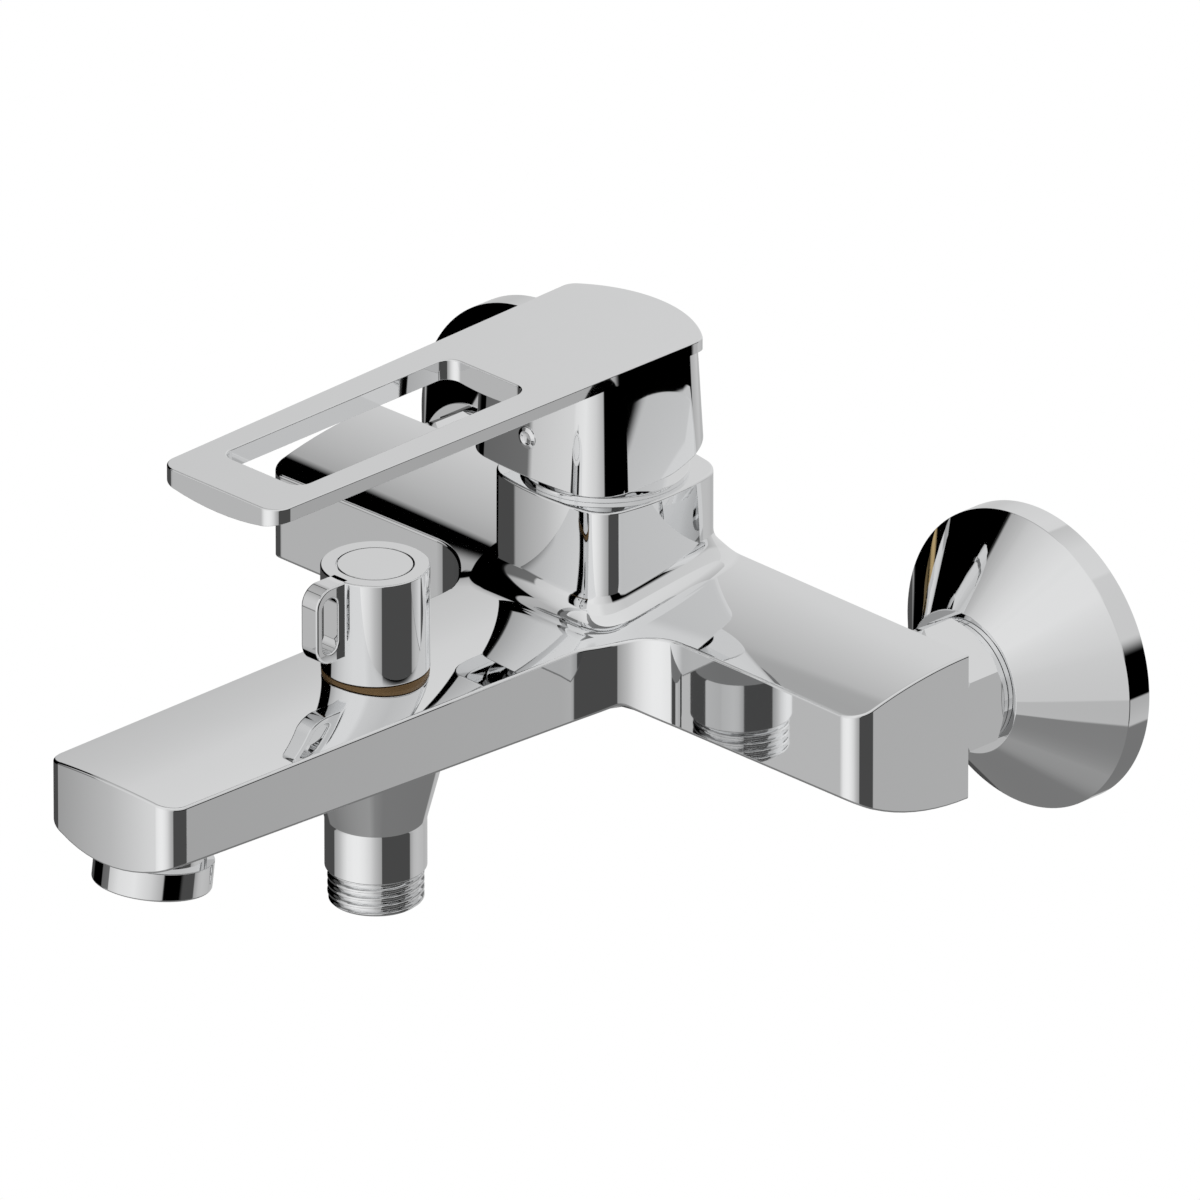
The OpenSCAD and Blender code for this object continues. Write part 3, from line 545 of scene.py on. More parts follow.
NUT_FROM_WALL, NUT_HALF, NUT_LENGTH = 24.4, 14.0, 12.3
ESCUTCHEON_R, ESCUTCHEON_RIM, ESCUTCHEON_DEPTH = 33.8, 6.0, 23.0


def sizes():
    return bpy.context.scene.faucet_sizes


def crown(x, y):
    """Height of the top of the tap body, without the neck."""
    spout = SPOUT_TOP - SPOUT_TOP_R + round_root(SPOUT_TOP_R ** 2 - x * x)
    arm = ARM_TOP - ARM_TOP_R + round_root(ARM_TOP_R ** 2 - (y + BODY_BACK) ** 2)
    arm -= sizes().arm_droop * (x / ARM_X) ** 2
    return blended_max(spout, arm, sizes().blend)


def belly(x, y):
    """Height of the underside of the tap body."""
    spout = SPOUT_BOTTOM_R - SPOUT_BOTTOM - (y + SPOUT_REACH) * math.tan(SPOUT_SLOPE) \
        - round_root(SPOUT_BOTTOM_R ** 2 - x * x) / math.cos(SPOUT_SLOPE)
    arm = ARM_BOTTOM_R - ARM_BOTTOM - round_root(ARM_BOTTOM_R ** 2 - (y + BODY_BACK) ** 2)
    return -blended_max(-spout, -arm, sizes().blend)


def body_outline():
    """Front of the plan of the body, from the back left corner round to the back right."""
    side = SPOUT_HALF - SPOUT_TAPER * SPOUT_ROOT_R / (SPOUT_REACH - ARM_FRONT)
    corner_x, corner_y = ARM_X - ARM_CORNER, ARM_FRONT - ARM_CORNER
    root_x, root_y = side + SPOUT_ROOT_R, ARM_FRONT + SPOUT_ROOT_R
    left = joined(
        line(-ARM_X, -BODY_BACK, -ARM_X, -corner_y),
        arc(-corner_x, -corner_y, ARM_CORNER, 180, 270),
        line(-corner_x, -ARM_FRONT, -root_x, -ARM_FRONT),
        arc(-root_x, -root_y, SPOUT_ROOT_R, 90, 0, 3.0),
        line(-side, -root_y, -TIP_HALF, -TIP_SIDE_END),
        arc(TIP_CORNER - TIP_HALF, -TIP_CORNER_Y, TIP_CORNER, 180, 270 - TIP_LEAN),
        arc(0, -SPOUT_REACH + TIP_R, TIP_R, 270 - TIP_LEAN, 270, 1.5))
    right = [(-x, y, -nx, ny) for x, y, nx, ny in reversed(left)]
    return joined(left, right)


def square_outline(half, corner, lean, cy):
    """A rounded square with slightly bowed sides about (0, cy), from the middle of its
    rear side and on towards -X."""
    sin, cos = math.sin(math.radians(lean)), math.cos(math.radians(lean))
    spread = (half - corner) / (1 - cos + sin)
    side_r = spread + corner
    centre = spread * sin
    run = []
    for quarter in range(4):
        turn = math.radians(90 * quarter)
        c, s = math.cos(turn), math.sin(turn)
        piece = arc(0, half - side_r, side_r, 90 - lean, 90 + lean, 1.2)
        piece += arc(-centre, centre, corner, 90 + lean, 180 - lean, 4.0)
        for x, y, nx, ny in piece:
            run.append((x * c - y * s, cy + x * s + y * c, nx * c - ny * s, nx * s + ny * c))
    return joined(run)


# ------------------------------------------------------------------ tap body

def tap_body_skin():
    """The casting: soft edged sides, neck, crown, belly and back wall."""
    skin = Skin()
    edge = sizes().edge
    up, down = slope_normal(crown), slope_normal(belly)
    steps = EDGE_STEPS
    rows = edge_rows(body_outline(), crown, belly, edge, edge)
    skin.strip(rows)
    # neck: a column of stations at each place, up its hollow fillet, wall and soft rim
    ring, rear = [], []
    columns = []
    for x, y, nx, ny in square_outline(NECK_W, NECK_CORNER, NECK_LEAN, -NECK_Y):
        reach = NECK_FILLET
        if ny > 0 and y + ny * reach > -BODY_BACK:
            reach = max(0.0, (-BODY_BACK - y) / ny)
        fx, fy = x + nx * reach, y + ny * reach
        if reach < NECK_FILLET:
            fy = -BODY_BACK
        first = math.asin(1 - reach / NECK_FILLET)
        column = []
        for k in range(FILLET_STEPS + 1):
            t = first + (math.pi / 2 - first) * k / FILLET_STEPS
            c, s = math.cos(t), math.sin(t)
            away = NECK_FILLET * (1 - s)
            px, py = x + nx * away, y + ny * away
            gx, gy, _ = up(px, py)
            column.append(((px, py, crown(px, py) + NECK_FILLET * (1 - c)),
                           (gx * c + nx * s, gy * c + ny * s, c)))
        for k in range(steps + 1):
            t = math.pi / 2 * k / steps
            c, s = math.cos(t), math.sin(t)
            px, py = x - nx * edge * (1 - c), y - ny * edge * (1 - c)
            column.append(((px, py, NECK_TOP - edge * (1 - s)), (nx * c, ny * c, s)))
        columns.append(column)
        (rear if reach < NECK_FILLET else ring).append((fx, fy, column[0][0][2]))
    skin.strip([[c[k] for c in columns] for k in range(len(columns[0]))], closed=True)
    skin.cap([[(c[-1][0][0], c[-1][0][1]) for c in columns]],
             lambda x, y: NECK_TOP, lambda x, y: (0, 0, 1))
    # crown: the ring runs from the back wall round the front of the neck and back to it
    rear.sort(key=lambda p: p[0])
    front_edge = [(p[0], p[1]) for p, _ in rows[0]]
    notch = [(p[0], p[1]) for p in ring]
    notch = [(rear[0][0], rear[0][1])] + notch + [(rear[-1][0], rear[-1][1])]
    skin.cap([front_edge + list(reversed(notch))], crown, up, grid=3.0)
    bottom_edge = [(p[0], p[1]) for p, _ in rows[-1]]
    skin.cap([bottom_edge], belly, flipped(down), grid=3.0)
    # back wall, from the right end to the left one
    top_line = [rows[k][-1][0] for k in range(steps, -1, -1)]
    top_line += [(p[0], p[1], p[2]) for p in reversed(rear)]
    top_line += [rows[k][0][0] for k in range(steps + 1)]
    low_line = [rows[steps + 1 + k][-1][0] for k in range(steps + 1)]
    low_line += [rows[2 * steps + 1 - k][0][0] for k in range(steps + 1)]
    loop = [(p[0], p[2]) for p in top_line] + [(p[0], p[2]) for p in reversed(low_line)]
    wall = Skin(Matrix(((1, 0, 0, 0), (0, 0, -1, -BODY_BACK), (0, 1, 0, 0), (0, 0, 0, 1))))
    wall.points, wall.index, wall.faces, wall.normals = \
        skin.points, skin.index, skin.faces, skin.normals
    wall.cap([loop], lambda x, y: 0.0, lambda x, y: (0, 0, -1))
    return skin


def outlet_boss(place):
    """Flared boss under the spout."""
    skin = Skin(place)
    turned(skin, softened([(0, BOSS_LOW), (BOSS_R, BOSS_LOW, 0.3), (BOSS_R, -22.9, 4.0),
                           (BOSS_WIDE, -5.73, 0.0), (BOSS_WIDE, -4.0)], 0.3, 6))
    return skin


def merged(target, extra):
    """The target with the faces of another skin added."""
    start = len(target.points)
    target.points.extend(extra.points)
    target.faces.extend([k + start for k in f] for f in extra.faces)
    target.normals.extend(extra.normals)
    return target


def at(x, y, z, tilt=0.0):
    """A place, tilted about X by an angle in degrees."""
    return Matrix.Translation((x, y, z)) @ Matrix.Rotation(math.radians(tilt), 4, "X")


class FAUCET_OT_tap_body(bpy.types.Operator):
    """Casting with two arms, the spout, the square neck and the outlet boss"""
    bl_idname = "faucet.tap_body"
    bl_label = "Tap body"

    def execute(self, context):
        skin = tap_body_skin()
        merged(skin, outlet_boss(at(0, -DIVERTER_Y, 0)))
        skin.build("tap_body", "body", "chrome", ["body_casting"])
        return {"FINISHED"}


# ------------------------------------------------------------------ lever

def lever_outline():
    """Plan of the lever about the cartridge axis, anticlockwise from its rear side."""
    rear_r, rear_cy, meet = 31.15, -14.0, 52.3
    tip_x, tip_y = LEVER_TIP_HALF - LEVER_TIP_CORNER, LEVER_REACH - LEVER_TIP_CORNER
    half = joined(
        arc(0, rear_cy, rear_r, 90, 180 - meet, 2.0),
        arc(-16.6, 7.5, 4.0, 180 - meet, 180, 5.0),
        line(-20.6, 7.5, -LEVER_TIP_HALF, -tip_y, 3.0),
        arc(-tip_x, -tip_y, LEVER_TIP_CORNER, 180, 270, 6.0),
        line(-tip_x, -LEVER_REACH, 0.0, -LEVER_REACH, 3.0))
    other = [(-x, y, -nx, ny) for x, y, nx, ny in reversed(half)]
    return joined(half, other)[:-1]


def hub_outline():
    """Plan of the hub under the blade; its front side is bowed a little."""
    meet, lean = 52.47, 7.0
    half = joined(
        arc(0, -12.73, 29.23, 90, 180 - meet, 2.0),
        arc(-13.54, 4.9, 7.0, 180 - meet, 180, 4.0),
        line(-20.54, 4.9, -20.13, -14.0, 2.0),
        arc(-12.13, -14.0, 8.0, 180, 270 - lean, 4.0))
    x0, y0 = half[-1][0], half[-1][1]
    bow_r = -x0 / math.sin(math.radians(lean))
    bow = arc(0, y0 + bow_r * math.cos(math.radians(lean)), bow_r, 270 - lean, 270, 1.2)
    half = joined(half, bow)
    other = [(-x, y, -nx, ny) for x, y, nx, ny in reversed(half)]
    return joined(half, other)[:-1]


def slot_outline():
    """Slot of the blade, clockwise."""
    near, far, w, r = SLOT_NEAR, SLOT_FAR, SLOT_HALF, SLOT_CORNER
    return joined(
        line(-w + r, near, w - r, near, 2.0), arc(w - r, near - r, r, 90, 0, 8.0),
        line(w, near - r, w, far + r, 3.0), arc(w - r, far + r, r, 0, -90, 8.0),
        line(w - r, far, -w + r, far, 2.0), arc(-w + r, far + r, r, 270, 180, 8.0),
        line(-w, far + r, -w, near - r, 3.0), arc(-w + r, near - r, r, 180, 90, 8.0))[:-1]


def blade_top(x, y):
    """Height of the top of the blade, about the cartridge axis."""
    return LEVER_TOP + y * LEVER_SLOPE


def blade_under(x, y):
    """Height of the underside of the blade, hollowed along its length."""
    return blade_top(x, y) - LEVER_THICK - LEVER_HOLLOW_RISE + LEVER_HOLLOW_R \
        - round_root(LEVER_HOLLOW_R ** 2 - x * x)


def hub_lean(x, y):
    """How far the hub wall leans out per mm of depth: only over its straight sides."""
    front = max(0.0, min(1.0, (y + 20.0) / 8.0))
    rear = max(0.0, min(1.0, (7.0 - y) / 3.0))
    return HUB_DRAFT * front * front * (3 - 2 * front) * rear * rear * (3 - 2 * rear)


def hub_rim(x, y):
    """Height of the lower rim of the hub, rising towards the wall."""
    rear = y + 0.8
    return 42.5 + 0.2 * (rear + math.sqrt(rear * rear + 6.0))


class FAUCET_OT_lever(bpy.types.Operator):
    """Lever handle: slotted blade, hub that hollows over the dome, index plug"""
    bl_idname = "faucet.lever"
    bl_label = "Lever"

    def execute(self, context):
        edge = sizes().lever_edge
        place = at(0, -NECK_Y, 0)
        skin = Skin(place)
        slab(skin, [lever_outline(), slot_outline()], blade_top, blade_under, edge,
             lambda x, y: 0.12 if y < -24.0 else 0.0, grid=4.0, draft=hub_lean)
        hub = Skin(place)
        hollow = [(x, y, -nx, -ny)
                  for x, y, nx, ny in reversed(arc(0, 0, HUB_HOLLOW_R, 0, 360, 4.0)[:-1])]

        def hub_top(x, y):
            return blade_under(x, y) + 0.02

        run = []
        for x, y, nx, ny in hub_outline():
            out = hub_lean(x, y) * (blade_top(x, y) - blade_under(x, y)) - 0.01
            run.append((x + nx * out, y + ny * out, nx, ny))
        slab(hub, [run, hollow], hub_top, hub_rim, 0.0, 0.3,
             draft=lambda x, y: 0.0 if math.hypot(x, y) < HUB_HOLLOW_R + 0.3 else HUB_DRAFT)
        merged(skin, hub)
        skin.build("lever_with_hub", "lever", "chrome", ["lever_handle"])
        plug = Skin(at(0, -NECK_Y - PLUG_AHEAD, PLUG_Z, 90.0))
        turned(plug, softened([(0, 0), (2.6, 0, 0), (2.6, 1.7, 0.3), (1.5, 2.1, 0.4),
                               (1.1, 1.7, 0.2), (0, 1.6)], 0.2), 48)
        plug.build("hub_index_plug", "lever", "chrome", ["index_plug"])
        return {"FINISHED"}


class FAUCET_OT_dome(bpy.types.Operator):
    """Domed cap over the cartridge, under the hub of the lever"""
    bl_idname = "faucet.dome"
    bl_label = "Dome cap"

    def execute(self, context):
        skin = Skin(at(0, -NECK_Y, 0))
        centre, radius = 40.0, 13.8
        low = math.degrees(math.asin(-1.8 / radius))
        high = math.degrees(math.acos(11.5 / radius))
        profile = softened([(11.9, 37.0), (18.4, 37.0, 0.1), (18.4, 38.2, 0.25),
                            (radius * math.cos(math.radians(low)), 38.2)], 0.1)
        for k in range(25):
            a = math.radians(low + (high - low) * k / 24)
            profile.append((radius * math.cos(a), centre + radius * math.sin(a),
                            math.cos(a), math.sin(a)))
        mouth = centre + radius * math.sin(math.radians(high))
        profile += [(11.5, mouth, -1, 0), (11.5, 42.5, -1, 0)]
        profile += [(11.5, 42.5, 0, -1), (11.9, 42.5, 0, -1), (11.9, 42.5, -1, 0),
                    (11.9, 37.0, -1, 0)]
        turned(skin, profile)
        skin.build("dome_over_cartridge", "body", "chrome", ["dome_cap"])
        return {"FINISHED"}


# ------------------------------------------------------------------ diverter

KNOB_R, KNOB_LOW, KNOB_TOP = 11.8, 12.8, 36.6


def loop_outlines():
    """Finger loop seen from its side: (reach from the knob axis, height)."""
    reach, low, corner = 19.8, 18.8, 4.4
    outer = joined(
        line(10.2, low, reach - corner, low, 2.0),
        arc(reach - corner, low + corner, corner, -90, 0, 7.0),
        line(reach, low + corner, reach, KNOB_TOP - corner, 3.0),
        arc(reach - corner, KNOB_TOP - corner, corner, 0, 90, 7.0),
        line(reach - corner, KNOB_TOP, 10.2, KNOB_TOP, 2.0),
        line(10.2, KNOB_TOP, 10.2, low, 3.0))[:-1]
    middle, r = (KNOB_TOP + low) / 2, 2.3
    cx, half = 15.7, 6.4
    hole = joined(
        arc(cx, middle + half - r, r, 180, 0, 9.0), line(cx + r, middle + half - r,
                                                         cx + r, middle - half + r, 3.0),
        arc(cx, middle - half + r, r, 360, 180, 9.0), line(cx - r, middle - half + r,
                                                           cx - r, middle + half - r, 3.0))[:-1]
    return [outer, hole]


class FAUCET_OT_diverter(bpy.types.Operator):
    """Diverter knob with its finger loop, index disc and seat ring"""
    bl_idname = "faucet.diverter"
    bl_label = "Diverter knob"

    def execute(self, context):
        soft = sizes().turned_edge
        place = at(0, -DIVERTER_Y, 0)
        knob = Skin(place)
        turned(knob, softened([
            (9.8, 24.0, 0), (9.8, KNOB_LOW, 0.15), (KNOB_R, KNOB_LOW, 0.25),
            (KNOB_R, KNOB_TOP, soft), (8.45, KNOB_TOP, 0.1), (8.45, 35.4, 0), (0, 35.4)], soft), 120)
        half = 2.5
        side = Skin(place @ Matrix(((0, 0, 1, 0), (-1, 0, 0, 0), (0, 1, 0, 0), (0, 0, 0, 1))))
        slab(side, loop_outlines(), lambda x, y: half, lambda x, y: -half, 0.5, 0.5)
        merged(knob, side)
        knob.build("diverter_knob_with_loop", "diverter", "chrome", ["diverter_knob"])
        disc = Skin(place)
        turned(disc, softened([(0, 35.4), (8.15, 35.4, 0), (8.15, KNOB_TOP, 0.12),
                               (0, KNOB_TOP)], 0.2), 96)
        disc.build("knob_disc", "diverter", "chrome", ["knob_index_disc"])
        ring = Skin(place)
        turned(ring, softened([(8.1, 11.7), (8.1, 10.2, 0), (11.7, 10.2, 0), (11.7, 12.5, 0.15),
                               (4.0, 12.5, 0), (4.0, 11.6, 0), (8.1, 11.6)], 0.1), 96)
        ring.build("seat_ring_under_knob", "body", "seat_ring", ["diverter_base_ring"])
        return {"FINISHED"}


# ------------------------------------------------------------------ outlets

class FAUCET_OT_outlets(bpy.types.Operator):
    """Threaded shower outlet and the aerator under the spout tip"""
    bl_idname = "faucet.outlets"
    bl_label = "Outlets"

    def execute(self, context):
        size = sizes()
        bottom, top = OUTLET_LOW, BOSS_LOW
        skin = Skin(at(0, -DIVERTER_Y, 0))

        def radius(angle, z):
            turns = (z - bottom) / size.thread_pitch - angle / (2 * math.pi)
            wave = abs((turns % 1.0) - 0.5) * 2.0
            groove = max(0.0, min(1.0, (wave - 0.22) / 0.55))
            groove = groove * groove * (3 - 2 * groove)
            start = max(0.0, min(1.0, (z - bottom) / 0.7))
            stop = max(0.0, min(1.0, (top - z) / 0.5))
            run_in = 0.25 + 0.75 * start
            depth = size.thread_depth * (groove * stop * run_in + (1 - start) * 0.75)
            return OUTLET_CREST - min(depth, size.thread_depth)

        around, levels = 96, 84
        rows = []
        for j in range(levels + 1):
            z = bottom + (top - bottom) * j / levels
            row = []
            for k in range(around):
                angle = 2 * math.pi * k / around
                r = radius(angle, z)
                slope = (radius(angle, min(top, z + 0.02)) - radius(angle, max(bottom, z - 0.02))) \
                    / 0.04
                c, s = math.cos(angle), math.sin(angle)
                row.append(((r * c, r * s, z), (c, s, -slope)))
            rows.append(row)
        skin.strip(rows, closed=True)
        lip = [((OUTLET_BORE * p[0] / math.hypot(p[0], p[1]),
                 OUTLET_BORE * p[1] / math.hypot(p[0], p[1]), bottom), (0, 0, -1))
               for p, _ in rows[0]]
        skin.strip([lip, [(p, (0, 0, -1)) for p, _ in rows[0]]], closed=True)
        turned(skin, [(OUTLET_BORE, bottom, -1, 0), (OUTLET_BORE, OUTLET_SEAT, -1, 0)])
        turned(skin, softened([(8.6, top), (8.6, OUTLET_SEAT, 0), (OUTLET_BORE, OUTLET_SEAT)], 0.0))
        skin.build("shower_outlet_thread", "body", "chrome", ["outlet_nipple"])

        tip = Skin(at(0, -AERATOR_Y, AERATOR_Z, AERATOR_TILT))
        turned(tip, softened([
            (9.85, 1.2, 0), (8.85, 1.2, 0.1), (8.85, 0.0, 0.3), (13.0, 0.0, 0.5),
            (13.0, 6.4, 0.2), (11.4, 6.4, 0), (11.4, 11.9, 0.2), (9.85, 11.9, 0.2),
            (9.85, 1.2)], 0.3), 96)
        tip.build("aerator_ring", "body", "chrome", ["aerator_housing"])
        return {"FINISHED"}


# ------------------------------------------------------------------ wall side

def nut_skin(side):
    """Hexagon with a cone chamfer at both ends, as real edges where cone meets flat."""
    skin = Skin(at(side * INLET_X, -NUT_FROM_WALL, 0, 90.0))
    flat, length = NUT_HALF, NUT_LENGTH
    corner = flat / math.cos(math.radians(30))
    face = corner - 2.0
    bore, lip = 12.95, 9.5
    steps = 12
    for side_no in range(6):
        middle = math.radians(60 * side_no)
        for j in range(steps):
            columns = []
            for a in (-30 + 60 * j / steps, -30 + 60 * (j + 1) / steps):
                off = math.radians(a)
                r = flat / math.cos(off)
                angle = middle + off
                c, s = math.cos(angle), math.sin(angle)
                cone = max(0.0, r - face)
                inner = min(r, face)
                columns.append((c, s, r, cone, inner))
            n = (math.cos(middle), math.sin(middle), 0)
            (c0, s0, r0, h0, i0), (c1, s1, r1, h1, i1) = columns
            skin.face([(r0 * c0, r0 * s0, h0), (r1 * c1, r1 * s1, h1),
                       (r1 * c1, r1 * s1, length - h1), (r0 * c0, r0 * s0, length - h0)], [n] * 4)
            for z, sign, low in ((0.0, -1, bore), (length, 1, lip)):
                k0 = (c0, s0, sign)
                k1 = (c1, s1, sign)
                skin.face([(i0 * c0, i0 * s0, z), (i1 * c1, i1 * s1, z),
                           (r1 * c1, r1 * s1, z - sign * h1), (r0 * c0, r0 * s0, z - sign * h0)],
                          [k0, k1, k1, k0])
                skin.face([(low * c0, low * s0, z), (low * c1, low * s1, z),
                           (i1 * c1, i1 * s1, z), (i0 * c0, i0 * s0, z)], [(0, 0, sign)] * 4)
    turned(skin, [(bore, 0, -1, 0), (bore, 9.9, -1, 0), (bore, 9.9, 0, -1), (lip, 9.9, 0, -1),
                  (lip, 9.9, -1, 0), (lip, length, -1, 0)], 6 * steps, 30.0, 390.0)
    return skin


class FAUCET_OT_wall_side(bpy.types.Operator):
    """Union nuts and the escutcheons that cover the pipes at the wall"""
    bl_idname = "faucet.wall_side"
    bl_label = "Nuts and escutcheons"

    def execute(self, context):
        soft = sizes().turned_edge
        for side, word in ((-1, "left"), (1, "right")):
            nut_skin(side).build(word + "_hex_nut", word + "_nut", "chrome",
                                 [word + "_union_nut"])
            place = at(side * INLET_X, 0, 0, 90.0)
            skin = Skin(place)
            turned(skin, softened([
                (29.0, 1.2), (29.0, 0, 0), (ESCUTCHEON_R, 0, 0.1),
                (ESCUTCHEON_R, ESCUTCHEON_RIM, soft), (16.2, ESCUTCHEON_DEPTH, soft),
                (13.3, ESCUTCHEON_DEPTH, 0.1), (13.3, 20.6, 0), (15.0, 20.6, 0),
                (31.4, 4.8, 0), (31.4, 1.2, 0), (29.0, 1.2)], soft), 144)
            skin.build(word + "_wall_escutcheon", word + "_flange", "chrome",
                       [word + "_escutcheon"])
            collar = Skin(place)
            turned(collar, softened([(12.2, 24.3), (12.2, 23.1, 0), (14.0, 23.1, 0.1),
                                     (14.0, 24.3, 0.1), (12.2, 24.3)], 0.1), 96)
            collar.build(word + "_union_collar", "body", "chrome")
        return {"FINISHED"}


class FAUCET_OT_inner_parts(bpy.types.Operator):
    """Finishes of the CAD nodes that stay: unions, seals, cartridge, screws"""
    bl_idname = "faucet.inner_parts"
    bl_label = "Inner parts"

    def execute(self, context):
        made = finishes()
        slots = {s["node"]: s["material_slot"] for s in frame["record"]["subparts"]}
        for name, node in frame["nodes"].items():
            node.data.materials.clear()
            node.data.materials.append(made[slots[name]])
        return {"FINISHED"}


# ------------------------------------------------------------------ studio

AMBIENT = 0.75                      # strength of the world where it isn't seen or mirrored
TENT_R = 3000                       # in mm
FLOOR_REACH, FLOOR_Z = 6.0, -1.1    # in m

def studio_tent():
    """Light tent that the chrome mirrors: bands of light and dark card round the object.
    A band is a list of (azimuth in degrees, grey as it shows on a screen)."""
    made = bpy.data.materials.new("light tent")
    tree = Tree(made)
    place = tree.add("ShaderNodeTexCoord", out="Object")
    way = tree.add("ShaderNodeVectorMath", {"operation": "NORMALIZE"}, {0: place})
    parts = tree.add("ShaderNodeSeparateXYZ", {}, {0: way})
    x, y, z = (parts.other(k) for k in range(3))
    turn = tree.add("ShaderNodeMath", {"operation": "ARCTAN2"}, {0: x, 1: 0.0 - y})
    turn = turn / (2 * math.pi) + 0.5
    rise = tree.add("ShaderNodeMath", {"operation": "ARCSINE"}, {0: z}) / math.pi + 0.5

    def band(stops):
        spots = [((a + 180.0) / 360.0, hue((linear(v),) * 3)) for a, v in stops]
        return tree.add("ShaderNodeValToRGB", {"interpolation": "LINEAR", "stops": spots},
                        {"Fac": turn})

    foot = band([(-180, 0.47), (-60, 0.49), (-20, 0.56), (2, 0.585), (28, 0.60), (41, 0.52),
                 (60, 0.48), (180, 0.47)])
    low = band([(-180, 0.72), (-136, 0.75), (-134, 0.29), (-58.6, 0.29), (-58.2, 0.63),
                (-41, 0.75), (-31, 0.85), (-20, 0.93), (-5, 0.955), (7, 0.955), (19, 0.925),
                (31, 0.865), (43, 0.75), (56.8, 0.63), (57.4, 0.29), (126.2, 0.29),
                (126.8, 0.64), (139, 0.75), (151, 0.77), (180, 0.74)])
    mid = band([(-180, 0.84), (-145, 0.86), (-134, 0.84), (-130, 0.79), (-118.5, 0.68),
                (-118, 0.0), (-60.5, 0.0), (-60, 0.40), (-42, 0.44), (-41, 0.80), (-20, 0.90),
                (10, 0.93), (39, 0.84), (60, 0.70), (62, 0.0), (139, 0.0), (141, 0.7),
                (180, 0.8)])
    high = band([(-180, 0.86), (-145, 0.87), (-134, 0.85), (-129, 0.80), (-122, 0.73),
                 (-118, 0.67), (-117.6, 0.0), (-60.5, 0.0), (-60, 0.68), (-39, 0.82),
                 (-20, 0.88), (0, 0.91), (27, 0.91), (39, 0.85), (90, 0.8), (180, 0.84)])
    top = band([(-180, 0.86), (-118, 0.66), (-90, 0.70), (-60, 0.72), (-39, 0.82), (-20, 0.87),
                (0, 0.905), (90, 0.88), (180, 0.86)])

    def between(a, b, edge, soft):
        """a below the elevation edge, in degrees, and b above it."""
        share = tree.add("ShaderNodeMapRange", {"interpolation_type": "SMOOTHSTEP"}, {
            0: rise, 1: (edge - soft + 90) / 180, 2: (edge + soft + 90) / 180, 3: 0.0, 4: 1.0})
        return tree.mix(share, a, b)

    glow = between(foot, low, -36, 0.8)
    glow = between(glow, mid, -21.5, 0.7)
    glow = between(glow, high, 8, 5.0)
    glow = between(glow, top, 44, 0.8)
    shader = tree.add("ShaderNodeEmission", {}, {"Color": glow, "Strength": 1.0})
    tree.add("ShaderNodeOutputMaterial", {}, {"Surface": shader})
    return made


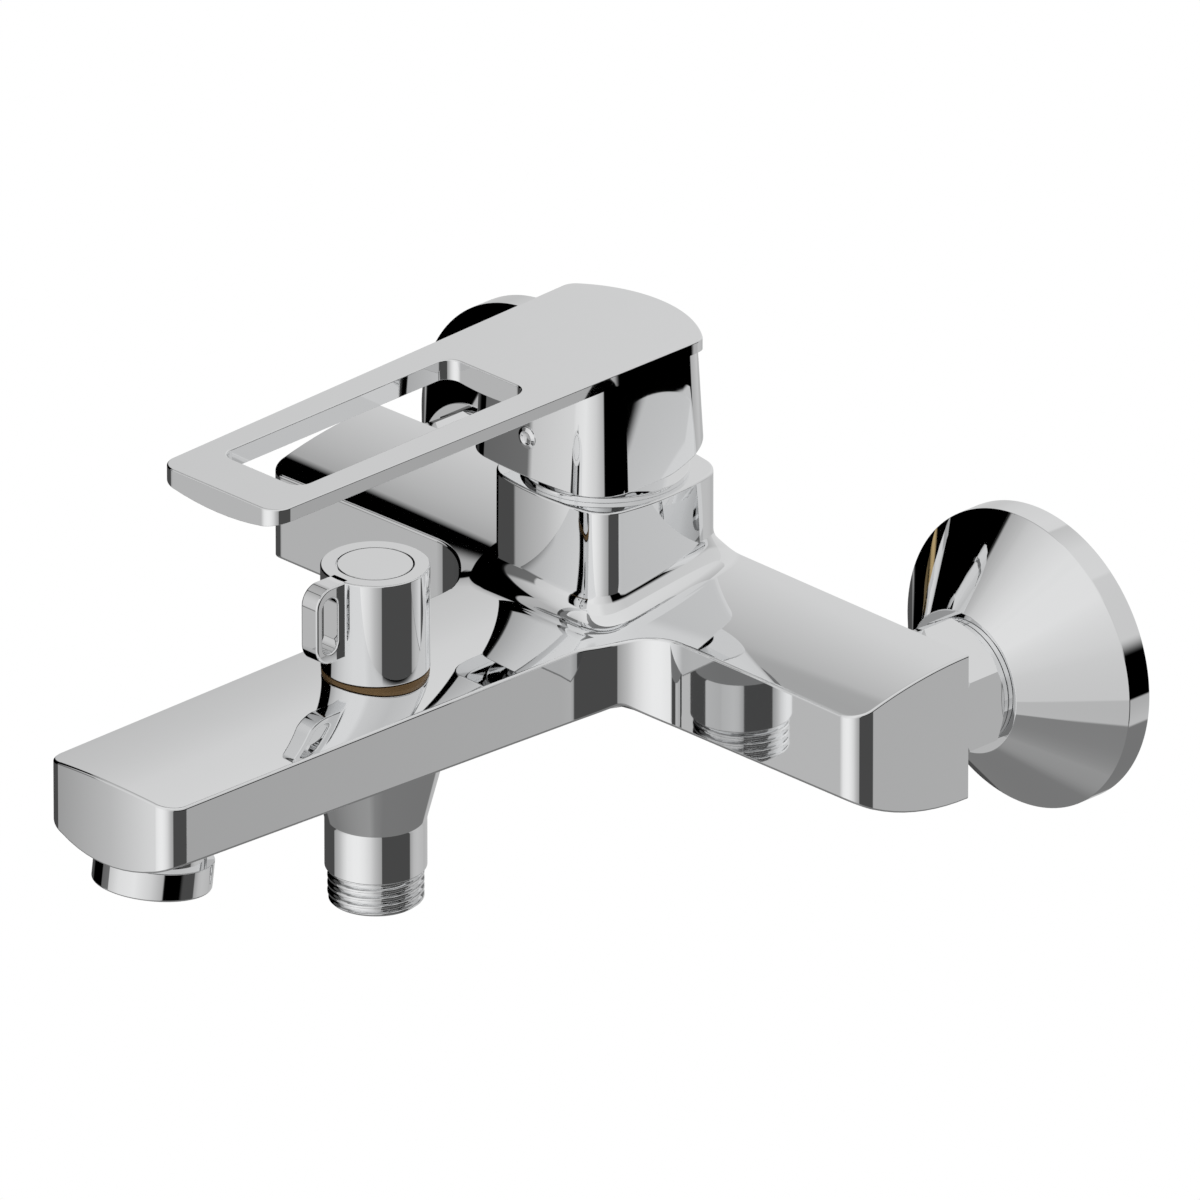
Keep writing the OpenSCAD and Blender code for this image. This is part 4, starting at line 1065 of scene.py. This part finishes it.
class FAUCET_OT_studio(bpy.types.Operator):
    """Pale floor, light tent, soft lamps and the camera"""
    bl_idname = "faucet.studio"
    bl_label = "Studio"

    def execute(self, context):
        scene = context.scene
        scene.view_settings.view_transform = "Standard"
        world = bpy.data.worlds.new("studio")
        scene.world = world
        tree = Tree(world)
        rays = tree.add("ShaderNodeLightPath")
        camera, glossy, through = (rays.other(name) for name in (
            "Is Camera Ray", "Is Glossy Ray", "Is Transmission Ray"))
        seen = tree.add("ShaderNodeMath", {"operation": "ADD", "use_clamp": True},
                        {0: camera + glossy, 1: through})
        strength = seen + (1 - seen) * AMBIENT
        shader = tree.add("ShaderNodeBackground", {}, {"Color": hue((1, 1, 1)),
                                                       "Strength": strength})
        tree.add("ShaderNodeOutputWorld", {}, {"Surface": shader})

        # light tent, seen only in reflections
        tent = Skin()
        turned(tent, [(TENT_R * math.cos(math.radians(a)), TENT_R * math.sin(math.radians(a)),
                       -math.cos(math.radians(a)), -math.sin(math.radians(a)))
                      for a in range(-90, 91, 5)], 72)
        mesh = bpy.data.meshes.new("light_tent")
        mesh.from_pydata([p * MM for p in tent.points], [], tent.faces)
        mesh.materials.append(studio_tent())
        shell = bpy.data.objects.new("light_tent", mesh)
        shell.visible_camera = False
        shell.visible_diffuse = False
        shell.visible_shadow = False
        shell.visible_transmission = False
        shell.visible_volume_scatter = False
        context.collection.objects.link(shell)

        # pale floor
        mesh = bpy.data.meshes.new("studio_floor")
        corners = [(x * FLOOR_REACH, y * FLOOR_REACH, FLOOR_Z)
                   for x, y in ((-1, -1), (1, -1), (1, 1), (-1, 1))]
        mesh.from_pydata(corners, [], [(0, 1, 2, 3)])
        pale = bpy.data.materials.new("pale floor")
        tree = Tree(pale)
        rays = tree.add("ShaderNodeLightPath")
        camera = rays.other("Is Camera Ray")
        matt = tree.add("ShaderNodeBsdfDiffuse", {}, {"Color": hue((0.9, 0.9, 0.9))})
        glow = tree.add("ShaderNodeEmission", {}, {"Color": hue((1, 1, 1)), "Strength": 1.0})
        both = tree.add("ShaderNodeMixShader", {}, {0: camera, 1: matt, 2: glow})
        tree.add("ShaderNodeOutputMaterial", {}, {"Surface": both})
        mesh.materials.append(pale)
        floor = bpy.data.objects.new("studio_floor", mesh)
        floor.visible_glossy = False
        context.collection.objects.link(floor)

        # soft lamps: place and size in m, power in W
        for name, spot, size, power in (("key", (1.6, -1.8, 2.2), 1.4, 26),
                                        ("fill", (-2.0, -1.2, 1.2), 1.6, 12),
                                        ("rim", (0.4, 1.8, 1.8), 1.2, 10)):
            lamp = bpy.data.lights.new(name, "AREA")
            lamp.size, lamp.energy = size, power
            thing = bpy.data.objects.new(name, lamp)
            thing.location = spot
            thing.rotation_euler = (-Vector(spot)).to_track_quat("-Z", "Y").to_euler()
            thing.visible_glossy = False
            context.collection.objects.link(thing)

        lens = bpy.data.cameras.new("studio camera")
        lens.lens, lens.sensor_width, lens.sensor_fit = 1240.6, 36.0, "HORIZONTAL"
        lens.clip_start, lens.clip_end = 1.0, 60.0
        viewer = bpy.data.objects.new("studio camera", lens)
        target = Vector((-0.05942, 0.0, -0.03239))
        turn, lift, away = math.radians(45.46), math.radians(24.8), 9.0
        back = Vector((math.sin(turn) * math.cos(lift), -math.cos(turn) * math.cos(lift),
                       math.sin(lift)))
        viewer.location = target + back * away
        viewer.rotation_euler = back.to_track_quat("Z", "Y").to_euler()
        context.collection.objects.link(viewer)
        scene.camera = viewer
        return {"FINISHED"}


# ------------------------------------------------------------------ add-on

OPERATORS = (FAUCET_OT_inner_parts, FAUCET_OT_tap_body, FAUCET_OT_lever, FAUCET_OT_dome,
             FAUCET_OT_diverter, FAUCET_OT_outlets, FAUCET_OT_wall_side, FAUCET_OT_studio)


class FAUCET_PT_panel(bpy.types.Panel):
    """Lists the sizes, the colours and the steps that build the faucet"""
    bl_idname = "FAUCET_PT_panel"
    bl_label = "Bath faucet"
    bl_space_type = "VIEW_3D"
    bl_region_type = "UI"
    bl_category = "Bath faucet"

    def draw(self, context):
        for group in (context.scene.faucet_sizes, context.scene.faucet_colours):
            box = self.layout.box()
            for key in group.__annotations__:
                box.prop(group, key)
        for operator in OPERATORS:
            self.layout.operator(operator.bl_idname)


CLASSES = (FaucetSizes, FinishColours) + OPERATORS + (FAUCET_PT_panel,)


def register():
    for made in CLASSES:
        bpy.utils.register_class(made)
    bpy.types.Scene.faucet_sizes = bpy.props.PointerProperty(type=FaucetSizes)
    bpy.types.Scene.faucet_colours = bpy.props.PointerProperty(type=FinishColours)


def unregister():
    del bpy.types.Scene.faucet_colours
    del bpy.types.Scene.faucet_sizes
    for made in reversed(CLASSES):
        bpy.utils.unregister_class(made)


def main():
    register()
    for operator in OPERATORS:
        group, name = operator.bl_idname.split(".")
        getattr(getattr(bpy.ops, group), name)()


if __name__ == "__main__":
    main()
